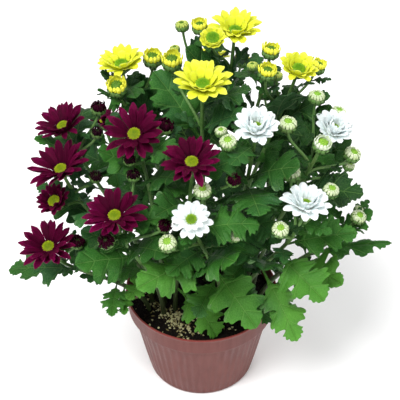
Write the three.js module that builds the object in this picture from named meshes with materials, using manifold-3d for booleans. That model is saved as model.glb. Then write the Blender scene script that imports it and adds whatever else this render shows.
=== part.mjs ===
// A pot chrysanthemum: three young plants, yellow, crimson and white, in one ribbed plastic pot of soil.
// Millimetres, +Z up. The origin is the middle of the pot's underside, and the plants' front is -Y.
import * as THREE from "three";
import { mergeVertices } from "three/addons/utils/BufferGeometryUtils.js";
import Module from "manifold-3d";

const wasm = await Module();
wasm.setup();

// ---------- driving dimensions ----------

const GAP = 0.3; // clearance between pieces that only touch
const SLIVER = 0.2; // details smaller than this are left out where pieces join

const POT = {
  rimRadius: 70,
  height: 94,
  baseRadius: 50,
  wall: 1.6,
  floor: 3,
  lip: 1, // the bevel of the rim
  bandHeight: 18, // the smooth collar below the rim
  bandTaper: 1.2,
  bandStep: 1.6, // how far the body stands back from the collar
  ribs: 56,
  ribDepth: 0.7,
  footBevel: 2,
  drains: 4,
  drainSides: 8,
  drainRadius: 5,
  drainCircle: 31,
};
const SOIL = { edge: 80, brow: 85, browRadius: 44, crown: 86, sides: 20 };
const HOLE = { depth: 12, gap: 1.8 }; // round the foot of each stem
const STEM = {
  footRadius: 2.3,
  topRadius: 1.4,
  sides: 5,
  rings: [0, 0.055, 0.25, 0.45, 0.65, 0.83, 1], // places along the stem's curve
  rise: 0.36, // how far it grows straight up, as a share of its length
  arrive: 0.3, // how far it runs straight into its bloom
};
const STALK = { footRadius: 1.3, topRadius: 1.1, sides: 3, rings: [0, 0.5, 1], pull: 0.4 };
const CUP = { depth: 6, margin: 1, sides: 6 }; // the green cup under a bloom
const NECK = { cup: 3.4, bud: 0.55 }; // depth of a stalk's end in a bloom, and in a bud as a share of its radius

const TIER = 1.1; // height of the ring that a row of petals grows from
const TIER_STEP = 0.9; // each ring is this much smaller than the one below
const PETAL = { thickness: 1.3, fill: 0.93 }; // fill is the share of a row's circle that petals take
const DISC = { rise: 2.4, inset: 0.5, brow: 0.78, browRise: 0.75, sides: 6 };
const BLOOM_SPIN = 0.37; // radians of turn for each millimetre along X, so that no two blooms stand alike
// Profiles of a bud from the bottom up, as shares of its radius: shut, and half open with a flared crown.
const BUD = {
  sides: 5,
  shut: [
    [0, -0.9],
    [1, 0],
    [0.66, 0.66],
    [0, 0.7],
  ],
  flared: [
    [0, -0.9],
    [0.86, -0.1],
    [1.08, 0.66],
    [0, 0.4],
  ],
};

const LEAF = {
  low: 53, // length of the lowest leaves and of the top ones
  high: 37,
  thickness: 1.7, // at the midrib, thinning to the edge
  spacing: 39, // between leaves along a stem
  first: 42, // from the foot of the stem to its lowest leaf
  last: 18, // from the top leaf to the bloom
  turn: 137.5, // degrees from one leaf round the stem to the next
  clear: 1.3, // least distance kept from anything of another stem
  waves: 9, // radians of a blade's wave over its length
};
// How the leaves between the large ones vary. Each has a least value and a spread, except where it says so.
const GROWTH = {
  climb: 250, // height of the soil to the top, over which leaves shorten and lift
  pitch: [-32, 60], // degrees at the soil, and how much more at the top
  pitchSpread: 24,
  taper: 1.4, // how late up the stem the leaves shorten
  outwards: 0.6, // radians that a leaf turns away from the middle
  length: [0.86, 0.28],
  tilt: 0.4, // sideways tilt of a blade
  forwards: -0.15,
  arch: [0.35, 0.7], // radians from base to tip
  width: 0.95,
  fold: [0.08, 0.3],
  wave: [0.5, 0.7],
};
// Right half of a blade's edge, as shares of its length: along the midrib and out from it.
const EDGE = [
  [0.3, 0.06],
  [0.48, 0.33],
  [0.61, 0.16],
  [0.79, 0.3],
  [0.86, 0.13],
];
const RIB = 0.58; // where the midrib is thickest
const LARGE_ARCH = 0.5; // bend of a large leaf from base to tip, in radians
const CROWN = { middle: 165, reach: 142, height: 173, fill: 0.94 }; // the dome that leaves stay in
const BARE = { left: -66, right: 6, back: -30, top: 150 }; // where the soil shows at the front
const SKIRT = { reach: 88, top: 184 }; // leaf tips hang no further out than this below this height
const SEED = 5;

// Ray petals: how many in a row and, for each row from the outside in, the slope in degrees at the
// root and at the tip, and the length as a share of the bloom's reach. disc is the radius of the
// eye and shoulder is where a petal is widest.
const KINDS = {
  yellow: {
    petals: 0xf4e81f,
    eye: 0x86a82a,
    disc: 5.8,
    shoulder: 0.7,
    count: 12,
    rows: [
      { root: 32, tip: 14, share: 1 },
      { root: 48, tip: 36, share: 0.9 },
    ],
  },
  crimson: {
    petals: 0x6d0b34,
    eye: 0xa9b51e,
    disc: 5.7,
    shoulder: 0.6,
    count: 11,
    rows: [
      { root: 28, tip: 12, share: 1 },
      { root: 44, tip: 30, share: 0.9 },
    ],
  },
  white: {
    petals: 0xf2f3f5,
    eye: 0x9fbf3a,
    disc: 5,
    shoulder: 0.76,
    count: 9,
    rows: [
      { root: 22, tip: 6, share: 1 },
      { root: 42, tip: 30, share: 0.9 },
      { root: 64, tip: 58, share: 0.7 },
    ],
  },
};
const COLOURS = { pot: 0x9a5f57, soil: 0x17120d, leaves: 0x2f6a2c };

// One entry is a leafy stem. root is where it leaves the soil. bloom is the flower at its end: the
// middle of its disc and its reach, and lean is how far it tips along X and Y for one unit up. A
// stem without one ends in a bud. heads are the flowers and buds on side stalks, each leaving the
// stem at that share of its length: a bud of that radius, half open where it says so, or a bloom
// where it has a reach. cupped is how many degrees more upright a bloom's petals stand than those
// of its kind. leaves are single large leaves, by the share of the stem's length, the place of the
// tip, how far the blade faces forwards, and its width as a share of the usual.
const STEMS = [
  {
    kind: "yellow",
    root: [14, 26],
    bloom: { at: [28, 58, 328], reach: 25, lean: [0.06, -0.16] },
    heads: [
      { share: 0.82, at: [9, 18, 343], reach: 11.8, lean: [0, -0.45], cupped: 10 },
      { share: 0.78, at: [-1, 62, 330], radius: 6.5, lean: [-0.1, -0.1], open: true },
    ],
    leaves: [
      { share: 0.8, tip: [40, 50, 317], lean: 0.2, width: 0.9 },
      { share: 0.72, tip: [-13, 50, 318], lean: 0.4, width: 0.9 },
      { share: 0.74, tip: [32, 28, 308], lean: 0.4, width: 0.9 },
    ],
  },
  {
    kind: "yellow",
    root: [-8, 24],
    bloom: { at: [-63, 8, 325], reach: 21.5, lean: [-0.1, -0.08] },
    heads: [
      { share: 0.78, at: [-39, 20, 324], radius: 7.4, lean: [0, -0.2], open: true },
      { share: 0.76, at: [-65, -18, 321], radius: 7.6, lean: [-0.1, -0.4], open: true },
    ],
    leaves: [
      { share: 0.8, tip: [-81, -14, 316], lean: 0.2, width: 0.55 },
      { share: 0.84, tip: [-86, 4, 312], lean: 0.2, width: 0.8 },
      { share: 0.74, tip: [-50, 20, 318], lean: 0.3, width: 0.9 },
      { share: 0.68, tip: [-76, -22, 290], lean: 0.5, width: 0.7 },
      { share: 0.72, tip: [-54, 4, 312], lean: 0.3, width: 0.6 },
      { share: 0.62, tip: [-48, 46, 288], lean: 0.4, width: 0.95 },
      { share: 0.52, tip: [-62, 44, 246], lean: 0.2, width: 0.9 },
    ],
  },
  {
    kind: "yellow",
    root: [4, 16],
    bloom: { at: [1, -30, 330], reach: 24.6, lean: [0.02, -0.2] },
    heads: [{ share: 0.8, at: [-23, 2, 332], radius: 7.8, lean: [0, -0.3], open: true }],
    leaves: [
      { share: 0.82, tip: [34, -40, 312], lean: 0.4, width: 0.9 },
      { share: 0.76, tip: [-38, 8, 320], lean: 0.4, width: 0.9 },
      { share: 0.72, tip: [36, -14, 304], lean: 0.3, width: 0.9 },
      { share: 0.62, tip: [-32, 40, 280], lean: 0.4, width: 0.95 },
    ],
  },
  {
    kind: "yellow",
    root: [20, 18],
    bloom: { at: [78, 18, 315], reach: 18.4, lean: [0.16, -0.3], cupped: 8 },
    heads: [
      { share: 0.8, at: [96, 38, 306], radius: 6.6, lean: [0.3, 0], open: true },
      { share: 0.78, at: [60, 4, 318], radius: 4.4, lean: [0, 0] },
      { share: 0.76, at: [51, -8, 328], radius: 6.8, lean: [0.1, -0.2], open: true },
    ],
    leaves: [
      { share: 0.76, tip: [68, -12, 310], lean: 0.4, width: 0.9 },
      { share: 0.74, tip: [106, 16, 292], lean: 0.2, width: 0.8 },
      { share: 0.66, tip: [80, 38, 290], lean: 0.3, width: 0.95 },
      { share: 0.56, tip: [92, 42, 262], lean: 0.3, width: 0.95 },
    ],
  },
  {
    kind: "yellow",
    root: [14, 38],
    bud: { at: [56, 28, 326], radius: 6.8, lean: [0.1, -0.1], open: true },
    heads: [{ share: 0.86, at: [41, 14, 321], radius: 4.4, lean: [-0.1, 0] }],
    leaves: [
      { share: 0.84, tip: [66, 54, 298], lean: 0.2, width: 0.9 },
      { share: 0.74, tip: [36, 20, 290], lean: 0.4, width: 0.95 },
    ],
  },
  {
    kind: "yellow",
    root: [-4, 38],
    bloom: { at: [8, 102, 276], reach: 21, lean: [0.05, 0.5] },
    heads: [
      { share: 0.78, at: [-16, 72, 326], radius: 5.6, lean: [-0.1, 0] },
      { share: 0.76, at: [-22, 54, 314], radius: 4.2, lean: [-0.1, 0] },
      { share: 0.76, at: [36, 98, 276], radius: 6, lean: [0.2, 0.3], open: true },
    ],
    leaves: [
      { share: 0.66, tip: [-48, 88, 262], lean: -0.2, width: 1 },
      { share: 0.62, tip: [30, 118, 236], lean: -0.2, width: 1 },
    ],
  },
  {
    kind: "crimson",
    root: [-44, -2],
    bloom: { at: [-111, -8, 277], reach: 24.6, lean: [-0.26, -0.14], cupped: 8 },
    heads: [
      { share: 0.84, at: [-84, 8, 285], radius: 6.2, lean: [0.1, -0.1], open: true },
      { share: 0.84, at: [-84, -14, 276], radius: 4.8, lean: [0.2, -0.2] },
    ],
    leaves: [
      { share: 0.84, tip: [-134, -20, 274], lean: 0.2, width: 0.7 },
      { share: 0.78, tip: [-124, 30, 252], lean: 0.2, width: 1 },
      { share: 0.74, tip: [-92, -32, 248], lean: 0.5, width: 1 },
    ],
  },
  {
    kind: "crimson",
    root: [-34, -14],
    bloom: { at: [-50, -58, 304], reach: 25.5, lean: [-0.1, -0.56] },
    heads: [
      { share: 0.84, at: [-28, -38, 298], radius: 6.4, lean: [0.3, -0.2], open: true },
      { share: 0.8, at: [-54, -66, 287], radius: 4.8, lean: [0, -0.5] },
    ],
    leaves: [
      { share: 0.76, tip: [-86, -50, 284], lean: 0.4, width: 0.9 },
      { share: 0.72, tip: [-16, -76, 276], lean: 0.5, width: 0.9 },
    ],
  },
  {
    kind: "crimson",
    root: [-45, -11],
    bloom: { at: [-110, -46, 262], reach: 28.6, lean: [-0.22, -0.16], cupped: 5 },
    heads: [
      { share: 0.86, at: [-84, -44, 254], radius: 5, lean: [0.2, -0.3] },
      { share: 0.8, at: [-116, -56, 238], reach: 16.8, lean: [-0.3, -0.4] },
    ],
    leaves: [
      { share: 0.72, tip: [-76, -86, 246], lean: 0.5, width: 0.9 },
      { share: 0.66, tip: [-128, -30, 226], lean: 0.3, width: 0.9 },
      { share: 0.76, tip: [-134, -34, 238], lean: 0.3, width: 0.8 },
    ],
  },
  {
    kind: "crimson",
    root: [-24, -22],
    bloom: { at: [-7, -82, 295], reach: 24, lean: [0, -0.3] },
    heads: [{ share: 0.8, at: [24, -80, 278], radius: 5.4, lean: [0.2, -0.5], open: true }],
    leaves: [
      { share: 0.78, tip: [-34, -104, 268], lean: 0.5, width: 0.9 },
      { share: 0.7, tip: [-46, -60, 262], lean: 0.5, width: 0.9 },
      { share: 0.66, tip: [-12, -78, 250], lean: 0.5, width: 0.7 },
    ],
  },
  {
    kind: "crimson",
    root: [-34, -27],
    bloom: { at: [-65, -94, 254], reach: 26, lean: [-0.06, -0.3] },
    heads: [
      { share: 0.84, at: [-72, -102, 237], radius: 6.4, lean: [-0.1, -0.7], open: true },
      { share: 0.8, at: [-52, -66, 272], radius: 5.2, lean: [0, -0.2] },
      { share: 0.76, at: [-28, -98, 248], radius: 5, lean: [0.3, -0.5], open: true },
    ],
    leaves: [
      { share: 0.62, tip: [-99, -94, 206], lean: 0.6, width: 0.9 },
      { share: 0.74, tip: [-24, -112, 232], lean: 0.5, width: 0.9 },
      { share: 0.42, tip: [-62, -74, 148], lean: 0.5, width: 0.9 },
      { share: 0.7, tip: [-103, -62, 219], lean: 0.5, width: 0.9 },
    ],
  },
  {
    kind: "crimson",
    root: [-47, -20],
    bloom: { at: [-124, -64, 197], reach: 26.6, lean: [-0.12, -0.3] },
    heads: [{ share: 0.86, at: [-102, -58, 198], radius: 6.2, lean: [0.2, -0.4], open: true }],
    leaves: [
      { share: 0.68, tip: [-165, -45, 155], lean: 0.15, width: 0.75 },
      { share: 0.7, tip: [-110, -58, 181], lean: 0.5, width: 0.9 },
      { share: 0.42, tip: [-76, -76, 130], lean: 0.6, width: 0.7 },
      { share: 0.36, tip: [-66, -68, 124], lean: 0.6, width: 0.7 },
    ],
  },
  {
    kind: "crimson",
    root: [-38, 8],
    bloom: { at: [-88, 74, 226], reach: 22.5, lean: [-0.3, 0.4] },
    heads: [{ share: 0.8, at: [-60, 76, 244], radius: 5.6, lean: [0.1, 0.2], open: true }],
    leaves: [
      { share: 0.72, tip: [-120, 66, 204], lean: 0.1, width: 1 },
      { share: 0.6, tip: [-70, 106, 196], lean: -0.2, width: 1 },
    ],
  },
  {
    kind: "white",
    root: [24, -12],
    bloom: { at: [41, -58, 309], reach: 20, lean: [0.02, -0.36], cupped: 10 },
    heads: [
      { share: 0.82, at: [20, -68, 304], radius: 6.4, lean: [-0.1, -0.3] },
      { share: 0.8, at: [15, -54, 304], radius: 4.6, lean: [-0.1, -0.1] },
    ],
    leaves: [
      { share: 0.74, tip: [74, -74, 286], lean: 0.5, width: 0.9 },
      { share: 0.7, tip: [44, -98, 258], lean: 0.5, width: 0.9 },
      { share: 0.52, tip: [28, -82, 194], lean: 0.5, width: 1 },
      { share: 0.72, tip: [22, -48, 284], lean: 0.4, width: 0.9 },
      { share: 0.6, tip: [33, -88, 242], lean: 0.6, width: 0.9 },
    ],
  },
  {
    kind: "white",
    root: [40, 0],
    bloom: { at: [105, -18, 281], reach: 19.2, lean: [0.2, -0.42], cupped: 14 },
    heads: [
      { share: 0.82, at: [112, 6, 282], radius: 6, lean: [0.2, 0] },
      { share: 0.74, at: [92, -2, 302], radius: 6.4, lean: [0.1, -0.1] },
    ],
    leaves: [
      { share: 0.74, tip: [106, 22, 284], lean: 0.2, width: 0.8 },
      { share: 0.7, tip: [126, 8, 254], lean: 0.2, width: 0.9 },
      { share: 0.5, tip: [130, -4, 202], lean: 0.3, width: 0.9 },
    ],
  },
  {
    kind: "white",
    root: [36, -18],
    bloom: { at: [79, -84, 256], reach: 21.3, lean: [0.06, -0.14], cupped: 6 },
    heads: [
      { share: 0.8, at: [70, -57, 267], radius: 7, lean: [0, -0.1] },
      { share: 0.84, at: [101, -62, 254], radius: 6.4, lean: [0.2, -0.2] },
      { share: 0.76, at: [60, -96, 243], radius: 6.4, lean: [0, -0.4] },
    ],
    leaves: [
      { share: 0.62, tip: [99, -98, 170], lean: 0.7, width: 1 },
      { share: 0.72, tip: [124, -72, 220], lean: 0.5, width: 0.8 },
      { share: 0.44, tip: [82, -85, 110], lean: 0.7, width: 0.7 },
      { share: 0.5, tip: [56, -86, 192], lean: 0.6, width: 0.9 },
    ],
  },
  {
    kind: "white",
    root: [20, -26],
    bloom: { at: [-7, -106, 260], reach: 16.8, lean: [-0.08, -0.55] },
    heads: [
      { share: 0.8, at: [1, -92, 277], radius: 6.6, lean: [0, -0.3] },
      { share: 0.72, at: [-25, -112, 243], radius: 6.8, lean: [-0.1, -0.4] },
      { share: 0.66, at: [26, -96, 236], radius: 4.2, lean: [0.2, -0.4] },
    ],
    leaves: [
      { share: 0.62, tip: [-50, -112, 197], lean: 0.7, width: 0.85 },
      { share: 0.44, tip: [46, -92, 133], lean: 0.8, width: 1 },
      { share: 0.36, tip: [-4, -81, 134], lean: 0.6, width: 1 },
      { share: 0.58, tip: [26, -105, 209], lean: 0.7, width: 1 },
    ],
  },
  {
    kind: "white",
    root: [46, -8],
    bud: { at: [93, -46, 286], radius: 6.8, lean: [0.2, -0.3], open: true },
    heads: [
      { share: 0.86, at: [66, -44, 304], radius: 6.8, lean: [0, -0.2] },
      { share: 0.84, at: [122, -22, 260], radius: 6.8, lean: [0.3, -0.2] },
      { share: 0.78, at: [121, -18, 246], radius: 4.8, lean: [0.3, 0] },
    ],
    leaves: [{ share: 0.74, tip: [129, -52, 243], lean: 0.4, width: 0.9 }],
  },
  {
    kind: "white",
    root: [50, -16],
    bud: { at: [128, -48, 216], radius: 6.2, lean: [0.3, -0.3] },
    heads: [{ share: 0.84, at: [132, -26, 206], radius: 4, lean: [0.4, 0] }],
    leaves: [
      { share: 0.82, tip: [140, -46, 221], lean: 0.4, width: 0.8 },
      { share: 0.56, tip: [162, -36, 178], lean: 0.15, width: 0.34 },
      { share: 0.5, tip: [117, -74, 165], lean: 0.6, width: 0.9 },
      { share: 0.44, tip: [107, -64, 148], lean: 0.6, width: 0.8 },
      { share: 0.38, tip: [64, -80, 122], lean: 0.7, width: 0.7 },
    ],
  },
  {
    kind: "white",
    root: [38, 14],
    bloom: { at: [84, 76, 238], reach: 19, lean: [0.25, 0.4] },
    heads: [
      { share: 0.8, at: [58, 86, 250], radius: 6.2, lean: [0, 0.2] },
      { share: 0.76, at: [108, 56, 240], radius: 5.4, lean: [0.3, 0.1] },
    ],
    leaves: [
      { share: 0.7, tip: [122, 74, 208], lean: 0.1, width: 1 },
      { share: 0.6, tip: [64, 112, 198], lean: -0.2, width: 1 },
    ],
  },
];

// ---------- small tools ----------

const UP = new THREE.Vector3(0, 0, 1);
const FULL_TURN = 2 * Math.PI;
const { degToRad: radians, lerp } = THREE.MathUtils;
const vec = (xyz) => new THREE.Vector3(...xyz);
const along = (start, direction, length) => start.clone().addScaledVector(direction, length);
const vary = ([least, spread], draw) => least + spread * draw;

// A repeatable stream of numbers from 0 to 1.
function stream(seed) {
  let state = seed >>> 0;
  return () => {
    state = (state + 0x6d2b79f5) >>> 0;
    let mixed = Math.imul(state ^ (state >>> 15), state | 1);
    mixed ^= mixed + Math.imul(mixed ^ (mixed >>> 7), mixed | 61);
    return ((mixed ^ (mixed >>> 14)) >>> 0) / 4294967296;
  };
}

// A closed geometry from points and triangles of their indices.
function closed(points, faces) {
  return new THREE.BufferGeometry().setFromPoints(points).setIndex(faces.flat());
}

function solid(geometry, tolerance = 1e-4) {
  const bare = geometry.clone();
  bare.deleteAttribute("normal");
  bare.deleteAttribute("uv");
  const merged = mergeVertices(bare, tolerance);
  return new wasm.Manifold(
    new wasm.Mesh({
      numProp: 3,
      vertProperties: merged.attributes.position.array,
      triVerts: new Uint32Array(merged.index.array),
    }),
  );
}

function geometryOf(made) {
  const { numProp, vertProperties, triVerts } = made.getMesh();
  const points = [];
  for (let i = 0; i < vertProperties.length; i += numProp)
    points.push(new THREE.Vector3(...vertProperties.slice(i, i + 3)));
  return closed(points, [...triVerts]);
}

// Joins solids, drops slivers, and keeps the largest body, so that a scrap cut loose is left out.
function join(solids) {
  const joined = solid(geometryOf(wasm.Manifold.union(solids).simplify(SLIVER)), 1e-3);
  return joined.decompose().reduce((a, b) => (a.volume() > b.volume() ? a : b));
}

function mesh(name, made, colour, roughness = 0.6) {
  const geometry = geometryOf(made);
  geometry.computeVertexNormals();
  const material = new THREE.MeshStandardMaterial({ color: colour, roughness, metalness: 0 });
  const node = new THREE.Mesh(geometry, material);
  node.name = name;
  return node;
}

// A turned solid on an axis through a point: profile pairs are radius and height, from the bottom up.
function turned(profile, sides, base = new THREE.Vector3(), axis = UP) {
  const geometry = new THREE.LatheGeometry(profile.map(([r, z]) => new THREE.Vector2(r, z)), sides);
  geometry.applyQuaternion(new THREE.Quaternion().setFromUnitVectors(new THREE.Vector3(0, 1, 0), axis));
  return solid(geometry.translate(base.x, base.y, base.z));
}

// A straight pin from one height to another on the Z axis, moved to a place.
function pin(radius, from, to, sides, x, y) {
  const profile = [
    [0, from],
    [radius, from],
    [radius, to],
    [0, to],
  ];
  return turned(profile, sides, new THREE.Vector3(x, y, 0));
}

// A chain of straight stretches through points of a curve.
function chain(curve, shares) {
  const line = new THREE.CurvePath();
  const points = shares.map((share) => curve.getPoint(share));
  for (let i = 0; i + 1 < points.length; i++) line.add(new THREE.LineCurve3(points[i], points[i + 1]));
  return line;
}

// A tapering rod along a curve, closed at both ends, with a ring of corners at each share of it.
function rod(curve, { footRadius, topRadius, sides, rings }) {
  const points = [];
  const faces = [];
  const side = new THREE.Vector3(1, 0, 0);
  for (const share of rings) {
    const centre = curve.getPoint(share);
    const way = curve.getTangent(share);
    const forward = new THREE.Vector3().crossVectors(way, side).normalize();
    side.crossVectors(forward, way);
    const radius = lerp(footRadius, topRadius, share);
    for (let j = 0; j < sides; j++) {
      const turn = (FULL_TURN * j) / sides;
      const [out, up] = [radius * Math.cos(turn), radius * Math.sin(turn)];
      points.push(along(centre, side, out).addScaledVector(forward, up));
    }
  }
  for (let i = 0; i + 1 < rings.length; i++)
    for (let j = 0; j < sides; j++) {
      const [a, b] = [i * sides + j, i * sides + ((j + 1) % sides)];
      faces.push([a, b, b + sides], [a, b + sides, a + sides]);
    }
  const last = (rings.length - 1) * sides;
  for (let j = 1; j < sides - 1; j++) faces.push([0, j + 1, j], [last, last + j, last + j + 1]);
  return solid(closed(points, faces));
}

// ---------- pot and soil ----------

const BAND_FOOT = POT.height - POT.bandHeight;
const BODY_TOP = POT.rimRadius - POT.bandTaper - POT.bandStep;

// Radius of the pot's outer body, and of its inside, at a height below the collar.
const bodyRadius = (z) => lerp(POT.baseRadius, BODY_TOP, z / BAND_FOOT);
const insideRadius = (z) => bodyRadius(z) - POT.wall - POT.ribDepth;

// The pot is a stack of rings. The ribbed ones have a groove between every two ribs.
function pot() {
  const ribFoot = 3 * POT.footBevel;
  const rings = [
    { radius: POT.baseRadius - POT.footBevel, z: 0 },
    { radius: bodyRadius(POT.footBevel), z: POT.footBevel },
    { radius: bodyRadius(ribFoot), z: ribFoot, ribbed: true },
    { radius: BODY_TOP, z: BAND_FOOT - POT.lip, ribbed: true },
    { radius: POT.rimRadius - POT.bandTaper, z: BAND_FOOT },
    { radius: POT.rimRadius, z: POT.height - POT.lip },
    { radius: POT.rimRadius - POT.lip / 2, z: POT.height },
    { radius: POT.rimRadius - POT.wall, z: POT.height },
    { radius: insideRadius(BAND_FOOT), z: BAND_FOOT - 2 * POT.lip },
    { radius: insideRadius(POT.floor), z: POT.floor },
  ];
  const points = [];
  const faces = [];
  for (const ring of rings) {
    const count = ring.ribbed ? 2 * POT.ribs : POT.ribs;
    ring.start = points.length;
    for (let i = 0; i < count; i++) {
      const turn = (FULL_TURN * i) / count;
      const radius = ring.ribbed && i % 2 ? ring.radius - POT.ribDepth : ring.radius;
      points.push(new THREE.Vector3(radius * Math.cos(turn), radius * Math.sin(turn), ring.z));
    }
  }
  // Each rib takes its place on two rings: a corner, the groove beside it, and the next corner.
  const corners = (ring, i) => {
    const step = ring.ribbed ? 2 : 1;
    const next = ring.start + step * ((i + 1) % POT.ribs);
    const here = ring.start + step * i;
    return ring.ribbed ? [here, here + 1, next] : [here, next];
  };
  for (let k = 0; k + 1 < rings.length; k++)
    for (let i = 0; i < POT.ribs; i++) {
      const low = corners(rings[k], i);
      const high = corners(rings[k + 1], i);
      if (low.length === 3 && high.length === 3) {
        faces.push([low[0], low[1], high[1]], [low[0], high[1], high[0]]);
        faces.push([low[1], low[2], high[2]], [low[1], high[2], high[1]]);
      } else if (high.length === 3) {
        faces.push([low[0], high[1], high[0]], [low[0], low[1], high[1]], [low[1], high[2], high[1]]);
      } else if (low.length === 3) {
        faces.push([low[0], low[1], high[0]], [low[1], high[1], high[0]], [low[1], low[2], high[1]]);
      } else faces.push([low[0], low[1], high[1]], [low[0], high[1], high[0]]);
    }
  const floor = rings[rings.length - 1].start;
  for (let i = 1; i < POT.ribs - 1; i++) faces.push([0, i + 1, i], [floor, floor + i, floor + i + 1]);
  const drains = Array.from({ length: POT.drains }, (_, i) => {
    const turn = (FULL_TURN * (i + 0.5)) / POT.drains;
    const [x, y] = [POT.drainCircle * Math.cos(turn), POT.drainCircle * Math.sin(turn)];
    return pin(POT.drainRadius, -1, POT.floor + 1, POT.drainSides, x, y);
  });
  return solid(closed(points, faces)).subtract(wasm.Manifold.union(drains));
}

// Soil fills the pot to just below the collar and rises a little to the middle.
function soil() {
  const shoulder = BAND_FOOT - 3 * POT.lip;
  const edge = insideRadius(shoulder) - GAP;
  const profile = [
    [0, POT.floor + GAP],
    [insideRadius(POT.floor) - 2 * GAP, POT.floor + GAP],
    [edge, shoulder],
    [edge, SOIL.edge],
    [SOIL.browRadius, SOIL.brow],
    [0, SOIL.crown],
  ];
  const holes = STEMS.map(({ root }) =>
    pin(STEM.footRadius + HOLE.gap, SOIL.crown - HOLE.depth - GAP, SOIL.crown + 1, STEM.sides, ...root),
  );
  return turned(profile, SOIL.sides).subtract(wasm.Manifold.union(holes));
}

// ---------- flowers, each made at the origin and facing up ----------

const tierRadius = (kind, k) => kind.disc + 1 - TIER_STEP * k;

// A point of a petal: out along its arched spine, sideways from it and lifted off it.
function petalPoint({ kind, reach, spin, cupped }, k, turn, out, side, lift) {
  const { root, tip, share } = kind.rows[k];
  const slope = radians(root + cupped) + (radians(tip - root) * out) / 2;
  const start = tierRadius(kind, k);
  const run = (reach * share - start) * out;
  const radius = start + run * Math.cos(slope);
  const height = TIER * (k + 0.5) + run * Math.sin(slope) + lift;
  const [x, y] = [Math.cos(turn + spin), Math.sin(turn + spin)];
  return new THREE.Vector3(radius * x - side * y, radius * y + side * x, height);
}

// The ray petals. Each row grows from the sides of a low ring of its own, one ring on another.
function rays(bloom) {
  const { count, rows, shoulder } = bloom.kind;
  const points = [];
  const faces = [];
  const place = (...where) => points.push(petalPoint(bloom, ...where)) - 1;
  const step = FULL_TURN / count;
  const turnOf = (i, k) => (i + k / rows.length) * step;
  const ringOf = (k, lift) =>
    Array.from({ length: count }, (_, i) => place(k, turnOf(i - 0.5, k), 0, 0, lift));
  const feet = rows.map((_, k) => ringOf(k, -TIER / 2));
  const crowns = rows.map((_, k) => ringOf(k, TIER / 2));
  rows.forEach((row, k) => {
    const widest = petalPoint(bloom, k, 0, shoulder, 0, 0);
    const half = PETAL.fill * Math.hypot(widest.x, widest.y) * Math.sin(step / 2);
    for (let i = 0; i < count; i++) {
      const next = (i + 1) % count;
      const turn = turnOf(i, k);
      const [a, b, c, d] = [feet[k][i], feet[k][next], crowns[k][i], crowns[k][next]];
      const right = place(k, turn, shoulder, -half, 0);
      const left = place(k, turn, shoulder, half, 0);
      const tip = place(k, turn, 1, 0, 0);
      const ridge = place(k, turn, shoulder, 0, PETAL.thickness);
      faces.push([c, ridge, d], [c, right, ridge], [right, tip, ridge], [tip, left, ridge], [left, d, ridge]);
      faces.push([a, b, right], [b, left, right], [right, left, tip], [a, right, c], [b, d, left]);
      if (k > 0) {
        const [e, f] = [crowns[k - 1][i], crowns[k - 1][next]];
        faces.push([e, f, a], [a, f, b]);
      }
    }
  });
  const last = crowns[rows.length - 1];
  for (let i = 1; i < count - 1; i++) {
    faces.push([feet[0][0], feet[0][i + 1], feet[0][i]]);
    faces.push([last[0], last[i], last[i + 1]]);
  }
  return solid(closed(points, faces));
}

function disc({ kind }) {
  const radius = tierRadius(kind, kind.rows.length - 1) - DISC.inset;
  const foot = TIER * kind.rows.length + GAP;
  const profile = [
    [0, foot],
    [radius, foot],
    [radius * DISC.brow, foot + DISC.rise * DISC.browRise],
    [0, foot + DISC.rise],
  ];
  return turned(profile, DISC.sides);
}

// The green cup that a bloom sits in, at the end of its stalk.
function cup({ kind, centre, axis }) {
  const profile = [
    [0, -CUP.depth],
    [kind.disc + CUP.margin, -GAP],
    [0, -GAP],
  ];
  return turned(profile, CUP.sides, centre, axis);
}

// A bud is a squat dome of tight petals in its green cup.
function bud({ radius, open, at }, axis) {
  const profile = open ? BUD.flared : BUD.shut;
  return turned(profile.map(([r, z]) => [r * radius, z * radius]), BUD.sides, vec(at), axis);
}

// ---------- leaves ----------

// Places a point of the flat blade on the arched, folded and waved one.
function leafPoint(leaf, out, side, lift = 0) {
  const bend = leaf.arch / leaf.length;
  const angle = out * leaf.arch;
  const reach = Math.sin(angle) / bend;
  const drop = (1 - Math.cos(angle)) / bend;
  const { base, direction, normal, sideways, length, width, fold, wave, phase } = leaf;
  const offset = side * width * length;
  const rise = Math.abs(offset) * fold + wave * side * offset * Math.sin(LEAF.waves * out + phase);
  return along(base, direction, reach + Math.sin(angle) * (rise + lift))
    .addScaledVector(normal, Math.cos(angle) * (rise + lift) - drop)
    .addScaledVector(sideways, offset);
}

function blade(leaf) {
  const half = LEAF.thickness / 2;
  const n = EDGE.length;
  const points = [
    ...EDGE.map(([out, side]) => leafPoint(leaf, out, side)),
    ...EDGE.map(([out, side]) => leafPoint(leaf, out, -side)),
    leafPoint(leaf, 1, 0),
    leafPoint(leaf, 0, 0),
    leafPoint(leaf, RIB, 0, half),
    leafPoint(leaf, RIB, 0, -half),
  ];
  const [tip, root, top, under] = [2 * n, 2 * n + 1, 2 * n + 2, 2 * n + 3];
  const outwards = [...EDGE.keys()];
  const border = [root, ...outwards, tip, ...outwards.toReversed().map((i) => i + n)];
  const faces = border.flatMap((from, i) => {
    const to = border[(i + 1) % border.length];
    return [
      [from, to, top],
      [to, from, under],
    ];
  });
  return solid(closed(points, faces));
}

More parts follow.
